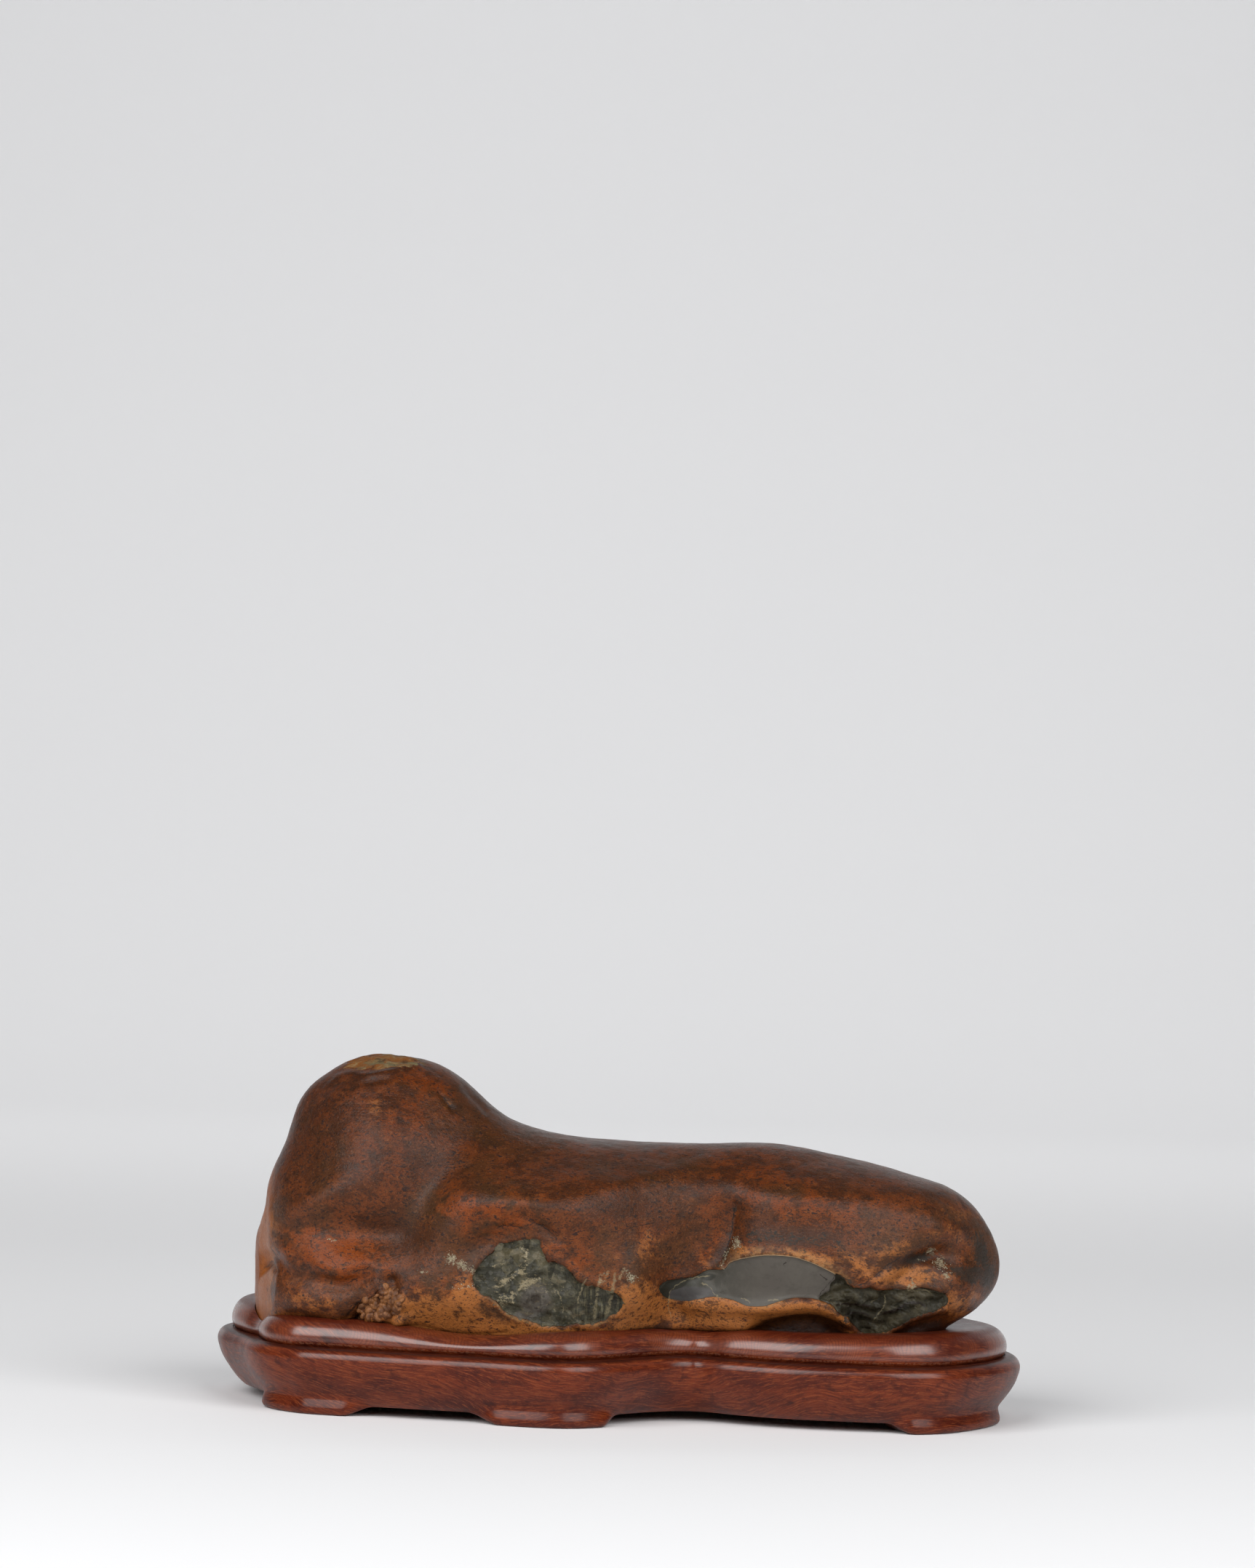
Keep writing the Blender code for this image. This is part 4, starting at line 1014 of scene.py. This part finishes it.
def moulding_tree(rings):
    """A moulding swept round a plan, its two ends drawn to poles and the stone's own shape cut from it."""
    nodes, given = geometry_tree(
        "swept_moulding",
        {"Plan": "Object", "Moulding": "Object", "Stone": "Object", "Sections": "Int", "Gap": "Float",
         "Crease": "Float", "Finish": "Material"},
    )  # fmt: skip
    plan, moulding, stone = (
        nodes.node("GeometryNodeObjectInfo", {}, {"Object": given[label]}, "Geometry")
        for label in ("Plan", "Moulding", "Stone")
    )

    def named(name, kind):
        return nodes.node("GeometryNodeInputNamedAttribute", {"data_type": kind}, {"Name": name})

    def at(geometry, value, kind, index):
        settings = {"data_type": kind, "domain": "POINT"}
        inputs = {"Geometry": geometry, "Value": value, "Index": index}
        return nodes.node("GeometryNodeSampleIndex", settings, inputs)

    def kept(geometry, names, kind, index):
        return (at(geometry, named(name, kind), kind, index) for name in names)

    here = nodes.node("GeometryNodeInputPosition")
    index = nodes.node("GeometryNodeInputIndex")
    loops = (index / rings).floor()
    section, ring = loops % given["Sections"], index - loops * rings
    widest = at(plan, here, "FLOAT_VECTOR", section)
    inward, to_spine, fuller = kept(plan, ("inward", "to_spine", "fuller"), "FLOAT_VECTOR", section)
    foot, lift = kept(plan, ("foot", "lift"), "FLOAT", section)
    plain = at(moulding, here, "FLOAT_VECTOR", ring)
    footed = at(moulding, named("footed", "FLOAT_VECTOR"), "FLOAT_VECTOR", ring)
    rise, pole, body = kept(moulding, ("rise", "pole", "body"), "FLOAT", ring)
    mixed = nodes.node("ShaderNodeSeparateXYZ", {}, {0: plain + (footed - plain) * foot}).socket.node
    inset, height, deep = (Value(nodes, socket) for socket in mixed.outputs)
    place = widest + inward * inset + to_spine * deep + fuller * body
    place = place + (nodes.node("ShaderNodeCombineXYZ", {}, {"Y": SPINE_Y * MM}) - place) * pole
    place = place + nodes.node("ShaderNodeCombineXYZ", {}, {"Z": height + lift * rise * (1.0 - pole)})
    grid = {"Size X": 1.0, "Size Y": 1.0, "Vertices X": given["Sections"] + 1.0, "Vertices Y": rings}
    sheet = nodes.node("GeometryNodeMeshGrid", {}, grid, "Mesh")
    swept = nodes.node("GeometryNodeSetPosition", {}, {"Geometry": sheet, "Position": place})
    joined = nodes.node("GeometryNodeMergeByDistance", {}, {"Geometry": swept, "Distance": 1e-6})
    gap = nodes.node("GeometryNodeInputNormal", output="Normal") * given["Gap"]
    swollen = nodes.node("GeometryNodeSetPosition", {}, {"Geometry": stone, "Offset": gap})
    settings = {"operation": "DIFFERENCE", "solver": "MANIFOLD"}
    seated = nodes.node("GeometryNodeMeshBoolean", settings, {"Mesh 1": joined, "Mesh 2": swollen})
    whole = {"Geometry": seated, "Shade Smooth": True}
    smooth = nodes.node("GeometryNodeSetShadeSmooth", {"domain": "FACE"}, whole)
    bend = nodes.node("GeometryNodeInputMeshEdgeAngle", output="Unsigned Angle")
    settings = {"operation": "GREATER_THAN"}
    creased = nodes.node("FunctionNodeCompare", settings, {"A": bend, "B": given["Crease"]})
    inputs = {"Geometry": smooth, "Selection": creased, "Shade Smooth": False}
    shaded = nodes.node("GeometryNodeSetShadeSmooth", {"domain": "EDGE"}, inputs)
    tree_ends(nodes, shaded, given["Finish"])
    return nodes


def make_stand(stone, finish):
    plan, moulding = widest_line(), moulding_line()
    rings = len(moulding.data.vertices)
    values = {"Plan": plan, "Moulding": moulding, "Stone": stone, "Sections": STAND_STEPS,
              "Gap": SEAT_GAP * MM, "Crease": math.radians(CREASE), "Finish": finish}  # fmt: skip
    start = object_from("stand_start", [(0, 0, 0)], [])
    stand = grown("wood_stand_shown", start, moulding_tree(rings), values)
    for line in (plan, moulding):
        bpy.data.objects.remove(line)
    return stand


# ================================================================ finishes


def brown_rind():
    """The stone: a red-brown water-worn rind over a dark green-grey heart, with stains and a crust, with
    painted shade in its hollows, creases and undercuts and painted highlights on its haunch and ridges.
    """
    rind = Finish("brown_rind", IOR=1.5, Specular_IOR_Level=0.21)
    drift = rind.noise(32.0, 3.0, 0.55, seed=3.0)
    cloud = rind.noise(8.0, 6.0, 0.62, warp=0.3)
    ragged = rind.noise(3.0, 6.0, 0.7, where=rind.stretched(1.6, 1.2, 1.0), seed=11.0)
    fleck = rind.noise(1.0, 4.0, 0.7, where=rind.stretched(1.5, 1.1, 1.0), seed=31.0, warp=0.4)
    grain = rind.noise(0.6, 2.0, 0.6, seed=5.0)
    ochre, orange_and_highlight, hollow_shade, pitch = (rind.attribute(name) for name in ("ochre", "orange_and_highlight", "hollow_shade", "pitch"))
    steel, olive, cream, crystals = (rind.attribute(name) for name in ("steel", "olive", "cream", "crystals"))
    left, right, broken = (rind.attribute(name) for name in ("left_bare", "right_bare", "broken"))
    crown, recess_shade = rind.attribute("crown"), rind.attribute("recess_shade")
    front = rind.y.between(2.0, -4.0)
    rind.unsteady(2.4, 0.5)
    cracks_and_crease_shade = rind.lines(CRACKS_AND_CREASE_SHADE) * front * fleck.between(0.38, 0.46)
    pale_lines = rind.lines(PALE_LINES) * front * fleck.between(0.40, 0.5)

    skin = rind.paint(cloud.between(0.43, 0.57), (74, 38, 16), (101, 51, 21))
    skin.lay(drift.between(0.44, 0.6) * 0.6, (62, 42, 23))
    # orange rind, with painted highlights on the haunch and along the back's ridges
    oranges_and_highlights = (orange_and_highlight * 1.1 + (cloud - 0.5) * 2.2 + (ragged - 0.5) * 1.6).between(0.3, 1.0)
    skin.lay(oranges_and_highlights * 0.88, (120, 54, 9))
    low = rind.z.between(50.0, 32.0) * 0.35
    tans = (ochre.or_more(low) * 1.2 + (cloud - 0.5) * 1.8 + (ragged - 0.5) * 2.2).between(0.35, 1.0)
    skin.lay(tans * 0.9, (156, 96, 46))
    skin.lay(ragged.between(0.53, 0.62) * 0.45, (116, 65, 33))
    # painted shade: the rind's colour darkened towards the top of the stone, between z 74 and 96
    high = rind.z.between(74.0, 96.0)
    skin.colour = rind.mix(high * 0.6, skin.colour, (0.60, 0.54, 0.50, 1.0), "MULTIPLY")
    # dark mottles from the noise, with painted shade in the hollows, valleys and upper back where the patches
    # above lie
    dark_mottles_and_shade = (hollow_shade + (cloud - 0.5) * 1.6 + (ragged - 0.5) * 3.4 + (fleck - 0.5) * 2.0).between(0.42, 0.8)
    calm = rind.x.between(-131.0, -127.0) * 0.75 + 0.25
    skin.lay(dark_mottles_and_shade * calm * 0.68, (43, 28, 18))
    flakes = (ragged + (fleck - 0.5) * 0.8 + (drift - 0.5) * 0.3).between(0.45, 0.38)
    skin.lay(flakes * calm * 0.68, (38, 24, 17))
    specks = (fleck + (ragged - 0.5) * 0.5).between(0.575, 0.63)
    skin.lay(specks * calm * 0.75, (30, 22, 22))
    skin.lay((grain + (fleck - 0.5) * 0.5).between(0.42, 0.32) * 0.16, (146, 97, 62))
    skin.lay(grain.between(0.54, 0.66) * 0.25, (30, 19, 13))
    # painted shade in the undercuts, clefts and notches, and along the stone's base
    recess_shade_share = (recess_shade + (ragged - 0.5) * 1.2).between(0.25, 0.9)
    skin.lay(recess_shade_share * 0.9, (26, 11, 5))
    skin.lay(rind.x.between(-129.0, -132.0) * 0.65, (134, 70, 18))

    upper = rind.z.between(52.0, 57.0) * rind.x.between(34.0, 50.0)
    glow = right.between(-4.5, -0.4) * upper * (0.1 + ragged.between(0.42, 0.56) * 0.5)
    skin.lay(glow, (157, 117, 74))
    skin.lay(right.near(-0.15, 0.32) * upper * 0.6, (164, 148, 119))
    lower = rind.z.between(50.0, 44.0)
    bare = left.or_more(right).or_more(broken)
    hem = bare.near(-0.4, 0.7) * lower * cloud.between(0.46, 0.6) * 0.3
    skin.lay(hem, (143, 114, 66))
    # painted shade: a dark band along the upper edge of the left bare face, under the haunch
    shade_under_haunch = left.near(-0.2, 0.9) * rind.z.between(50.0, 60.0) * cloud.between(0.56, 0.44)
    skin.lay(shade_under_haunch * 0.7, (51, 34, 24))
    stained = (pitch + (fleck - 0.5) * 2.8 + (ragged - 0.5) * 2.4).between(0.45, 0.8)
    stained = stained * pitch.between(0.05, 0.3)
    skin.lay(stained * 0.8, (38, 36, 31))

    strokes = rind.noise(1.0, 3.0, 0.6, where=rind.stretched(0.7, 4.0, 7.0), seed=41.0)
    struck = rind.x.between(-20.0, -12.0)
    left_rock = rind.paint(cloud.between(0.42, 0.6), (50, 48, 36), (70, 66, 51))
    facets = rind.chips(5.0, 0.26, seed=2.0)
    # painted shade on the low side of each chip and painted highlight on its high side, following the chips'
    # heights
    left_rock.lay(facets.between(0.1, -0.5) * 0.6, (40, 39, 30))
    left_rock.lay(facets.between(0.1, 0.6) * 0.5, (92, 86, 68))
    left_rock.lay((olive + (ragged - 0.5) * 1.4).between(0.4, 0.9) * 0.7, (79, 72, 51))
    left_rock.lay((steel + (cloud - 0.5)).between(0.35, 0.8) * 0.8, (73, 67, 61))
    left_rock.lay(strokes.between(0.5, 0.4) * struck * 0.8, (30, 29, 21))
    left_rock.lay(strokes.between(0.56, 0.66) * struck * 0.6, (105, 98, 73))
    left_rock.lay(ragged.between(0.55, 0.61) * 0.55, (98, 88, 68))
    left_rock.lay(ragged.between(0.46, 0.38) * 0.75, (36, 34, 26))
    darks = (pitch + (ragged - 0.5) * 2.4 + (cloud - 0.5) * 1.4).between(0.5, 0.75)
    left_rock.lay(darks * 0.75, (34, 32, 25))
    left_rock.lay(fleck.between(0.62, 0.69) * 0.5, (118, 107, 81))

    right_rock = rind.paint(rind.x.between(26.0, 56.0), (48, 47, 40), (74, 69, 63))
    right_rock.lay(ragged.between(0.5, 0.4) * 0.22, (49, 47, 40))
    right_rock.lay(cloud.between(0.46, 0.6) * 0.4, (82, 78, 70))
    right_rock.lay((steel + (cloud - 0.5) * 0.6).between(0.25, 0.55) * 0.6, (63, 60, 61))
    right_rock.lay((pitch + (cloud - 0.5)).between(0.4, 0.65) * 0.85, (31, 30, 22))
    right_rock.lay(fleck.between(0.34, 0.3) * 0.5, (41, 35, 29))

    broken_rock = rind.paint(cloud.between(0.42, 0.6), (42, 39, 29), (60, 55, 40))
    broken_rock.lay(olive.between(0.3, 0.7) * 0.6, (75, 68, 51))
    broken_rock.lay(ragged.between(0.55, 0.62) * 0.25, (85, 75, 55))
    darks = (pitch + (ragged - 0.5) * 2.4).between(0.45, 0.75)
    broken_rock.lay(darks * 0.75, (23, 22, 15))
    broken_rock.lay(fleck.between(0.62, 0.7) * 0.25, (94, 84, 58))

    jitter = (fleck - 0.5) * 1.4 + (ragged - 0.5) * 1.4
    skin.lay((right + jitter * 0.12).between(-0.1, 0.1), right_rock)
    skin.lay((left + jitter * 0.7).between(-0.14, 0.14), left_rock)
    skin.lay((broken + jitter * 0.5).between(-0.14, 0.14), broken_rock)
    creams = (cream + (fleck - 0.5) * 3.0 + (ragged - 0.5) * 2.0).between(0.5, 0.95)
    creams = creams * cream.between(0.05, 0.3)
    skin.lay(creams * 0.7, (143, 130, 102))
    whites = (crystals + (fleck - 0.5) * 3.6 + (ragged - 0.5) * 2.0).between(0.6, 0.95)
    whites = whites * crystals.between(0.1, 0.4)
    skin.lay(crystals.between(0.3, 0.9) * 0.3, (55, 51, 44))
    skin.lay(whites * 0.7, (150, 139, 113))
    skin.lay(pale_lines * 0.38, (145, 132, 101))
    # dark cracks, and painted shade along the creases, notches and ledges
    skin.lay(cracks_and_crease_shade * 0.85, (26, 17, 12))
    crust = (crown + (ragged - 0.5) * 1.8).between(-0.02, 0.14)
    grey_side = (rind.x * 0.03 + 2.9 + (cloud - 0.5) * 3.0).between(0.0, 0.6)
    crust_paint = rind.paint(grey_side, (120, 73, 30), (105, 97, 68))
    crust_paint.lay(ragged.between(0.54, 0.62) * 0.6, (136, 119, 83))
    crust_paint.lay(ragged.between(0.45, 0.38) * 0.7, (56, 34, 17))
    skin.lay(crust * 0.92, crust_paint)

    rind_height = ragged * 0.34 + fleck * 0.18 + grain * 0.04
    chips = facets + rind.chips(1.7, 0.26, seed=8.0) + fleck * 0.16 + ragged * 0.3
    height = rind_height * bare.between(0.1, -0.1) + chips * left.or_more(broken).between(-0.1, 0.2)
    height = height + crown.between(0.0, 0.1) * ragged * 0.8
    roughness = 0.33 + (fleck - 0.5) * 0.3 + (ragged - 0.5) * 0.3 + crust * 0.3 + whites * 0.2
    roughness = roughness + right.between(-0.1, 0.2) * 0.08
    return rind.finished(Base_Color=skin.colour, Roughness=roughness, Normal=rind.bump(height))


def crystal_white():
    """The small crystals on the stone."""
    white = Finish("crystal_white", Roughness=0.45)
    tint = white.noise(2.0, 3.0, 0.6)
    grit = white.noise(0.3, 2.0)
    colour = white.mix(tint.between(0.4, 0.6), tone(106, 96, 74), tone(159, 150, 127))
    return white.finished(Base_Color=colour, Normal=white.bump(grit * 0.04))


def tan_rind():
    """The lumps of the knot, as the rind about them is."""
    tan = Finish("tan_rind", IOR=1.5, Specular_IOR_Level=0.3, Roughness=0.5)
    cloud = tan.noise(3.0, 5.0, 0.65)
    fleck = tan.noise(0.8, 3.0, 0.65, seed=31.0)
    colour = tan.mix(cloud.between(0.42, 0.58), tone(86, 51, 27), tone(130, 84, 47))
    colour = tan.mix(fleck.between(0.57, 0.66) * 0.5, colour, tone(45, 29, 21))
    return tan.finished(Base_Color=colour, Normal=tan.bump(cloud * 0.2 + fleck * 0.12))


def red_hardwood():
    """The stand: dense dark red-brown wood, oiled and rubbed to a gloss, its figure running along it, with
    painted shade in its groove and along the rim's top edge.
    """
    wood = Finish("red_hardwood", IOR=1.5, Specular_IOR_Level=0.06, Coat_Roughness=0.24, Coat_IOR=1.6)
    slow = wood.noise(1.0, 1.0, 0.5, where=wood.stretched(60.0, 40.0, 26.0), seed=4.0)
    sway = wood.noise(1.0, 2.0, 0.5, where=wood.stretched(14.0, 12.0, 7.0), seed=9.0)
    lean = (wood.x + 45.0).or_less(0.0) * 0.3 - wood.x.between(46.0, 76.0) * 9.0
    flow = wood.z + wood.y * 0.12 + lean + (slow - 0.5) * 14.0 + (sway - 0.5) * 2.4
    course = wood.node("ShaderNodeCombineXYZ", {}, {"X": wood.x, "Y": wood.y * 0.4, "Z": flow * 11.0})
    lines = 0.5 + 0.5 * (flow * (math.tau / 0.95)).sine()
    fibre = wood.noise(6.0, 4.0, 0.62, where=course, seed=6.0)
    dash = wood.noise(2.4, 3.0, 0.6, where=course, seed=18.0)
    patch = wood.noise(1.0, 4.0, 0.6, where=wood.stretched(30.0, 14.0, 9.0), seed=14.0)
    mottle = wood.noise(4.0, 5.0, 0.65, seed=17.0)
    stain = wood.paint(patch.between(0.38, 0.64), (74, 25, 12), (108, 44, 20))
    stain.lay(fibre.between(0.52, 0.64) * 0.55, (132, 64, 32))
    stain.lay(fibre.between(0.48, 0.38) * 0.55, (54, 18, 10))
    stain.lay(lines.between(0.5, 1.0) * patch.between(0.42, 0.62) * 0.3, (56, 20, 11))
    stain.lay(dash.between(0.57, 0.65) * 0.4, (146, 78, 42))
    stain.lay(dash.between(0.40, 0.34) * 0.45, (38, 13, 8))
    stain.lay(mottle.between(0.54, 0.66) * 0.55, (54, 18, 10))
    knots = wood.noise(7.0, 2.0, 0.5, where=wood.stretched(1.4, 1.0, 1.0), seed=37.0).between(0.69, 0.76)
    stain.lay(knots * 0.6, (38, 14, 9))

    on_rim = wood.z.between(26.4, 27.6)
    bow = wood.z - 31.0
    warp = wood.noise(8.0, 2.0, 0.5, seed=21.0) * 5.0 + wood.noise(26.0, 1.0, 0.5, seed=25.0) * 16.0
    ripple = 0.5 + 0.5 * ((wood.x + bow * bow * 0.07 + warp) * (math.tau / 1.2)).sine()
    figure = on_rim * wood.noise(20.0, 2.0, 0.5, seed=29.0).between(0.40, 0.58)
    stain.lay(figure * 0.4, (128, 62, 32))
    stain.lay(ripple.between(0.4, 1.0) * figure * 0.42, (62, 22, 12))
    chatter = wood.noise(0.9, 2.0, 0.5, where=wood.stretched(1.0, 1.0, 2.0), seed=49.0)
    chatter = wood.z.near(26.3, 1.3) * chatter
    stain.lay(chatter.between(0.42, 0.5) * 0.3, (150, 100, 76))
    # painted shade: the rim's rounded top edge darkened, from z 32.2 to 35
    edge = wood.z.between(32.2, 35.0)
    stain.lay(edge * 0.6, (62, 17, 9))
    # painted shade: the groove between the ledge and the rim darkened
    groove = wood.z.near(24.8, 1.0)
    stain.lay(groove * 0.85, (40, 14, 9))
    height = fibre * 0.03 + dash * 0.02 + ripple * figure * 0.034 + chatter * 0.12
    height = height + wood.noise(5.0, 2.0, 0.5, seed=33.0) * 0.10
    roughness = 0.36 + (fibre - 0.5) * 0.2 + (mottle - 0.5) * 0.2 + groove * 0.12
    rubbed = 0.27 + wood.z.between(26.4, 28.0) * wood.z.between(35.4, 33.6) * 0.73
    rubbed = rubbed + wood.z.near(23.4, 2.2) * 0.35
    normal = wood.bump(height)
    return wood.finished(Base_Color=stain.colour, Roughness=roughness, Coat_Weight=rubbed, Normal=normal)


def pale_paper():
    """The plain pale floor."""
    paper = Finish("pale_paper", Roughness=0.85, Specular_IOR_Level=0.1)
    tint = paper.noise(900.0, 1.0)
    colour = paper.mix(tint, tone(242, 242, 243), tone(244, 244, 245))
    return paper.finished(Base_Color=colour)


# ================================================================ the floor, the light and the camera


def make_floor():
    """A pale sheet that lies flat round the stand and turns up into a wall far behind it."""
    bend, start, top = 1200.0, 1700.0, 2600.0
    profile = [(-3500.0, 0.0), (0.0, 0.0), (start, 0.0)]
    for step in range(1, 13):
        turn = math.pi / 2 * step / 12
        profile.append((start + bend * math.sin(turn), bend - bend * math.cos(turn)))
    profile.append((start + bend, top))
    points = [(x, y, z) for x in (-4000.0, 4000.0) for y, z in profile]
    count = len(profile)
    faces = [(k, k + count, k + count + 1, k + 1) for k in range(count - 1)]
    floor = object_from("floor", points, faces)
    floor.data.materials.append(pale_paper())


def soft_light(name, place, target, size, power, shines=True):
    """A soft rectangular studio light at a place, turned to a target, both in metres."""
    lamp = bpy.data.lights.new(name, "AREA")
    lamp.shape = "RECTANGLE"
    lamp.size, lamp.size_y = size
    lamp.energy = power
    light = bpy.data.objects.new(name, lamp)
    light.location = place
    light.visible_camera = False
    light.visible_glossy = shines
    light.rotation_euler = (Vector(target) - Vector(place)).to_track_quat("-Z", "Y").to_euler()
    bpy.context.scene.collection.objects.link(light)


def make_light():
    world = bpy.data.worlds.new("studio")
    world.use_nodes = True
    sky = world.node_tree.nodes["Background"]
    sky.inputs["Color"].default_value = tone(236, 238, 242)
    sky.inputs["Strength"].default_value = 0.08
    bpy.context.scene.world = world
    middle = (0.0, 0.0, 0.06)
    soft_light("left_box", (-1.05, -1.45, 1.2), middle, (1.6, 1.6), 39.0)
    soft_light("right_box", (1.05, -1.45, 1.2), middle, (1.6, 1.6), 33.0)
    soft_light("wall_light", (0.0, 1.5, 1.1), (0.0, 2.9, 0.0), (3.6, 1.0), 8.5, shines=False)
    soft_light("ground_light", (0.0, 1.0, 1.2), (0.0, 1.6, 0.0), (3.0, 0.6), 6.0, shines=False)
    bpy.context.scene.view_settings.view_transform = "Standard"


def make_camera():
    lens = bpy.data.cameras.new("camera")
    lens.lens = 120.0
    lens.clip_start, lens.clip_end = 0.05, 30.0
    camera = bpy.data.objects.new("camera", lens)
    level = Matrix.Rotation(math.radians(90.0), 4, "X") @ Matrix.Rotation(math.radians(1.7), 4, "Z")
    camera.matrix_world = Matrix.Translation((-0.0023, -1.97, 0.2363)) @ level
    bpy.context.scene.collection.objects.link(camera)
    bpy.context.scene.camera = camera


# ================================================================ the object


def main():
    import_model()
    make_camera()
    make_light()
    make_floor()

    stone = make_stone()
    stone.name = "rock_shown"
    stone.data.materials.append(brown_rind())
    crystals = make_lumps("crystals", stone, crystal_white(), closeness=0.34, cluster=1.6, sizes=(0.10, 0.30),
                          roundness=1, sunk=0.05, seed=5)  # fmt: skip
    knot = make_lumps("knot", stone, tan_rind(), closeness=1.2, cluster=40.0, sizes=(0.9, 2.4),
                      roundness=3, sunk=0.9, seed=3)  # fmt: skip
    stand = make_stand(stone, red_hardwood())

    for piece in (stone, crystals, knot, stand):
        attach(piece, "root")
    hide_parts("rock")
    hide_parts("wood_stand")


main()
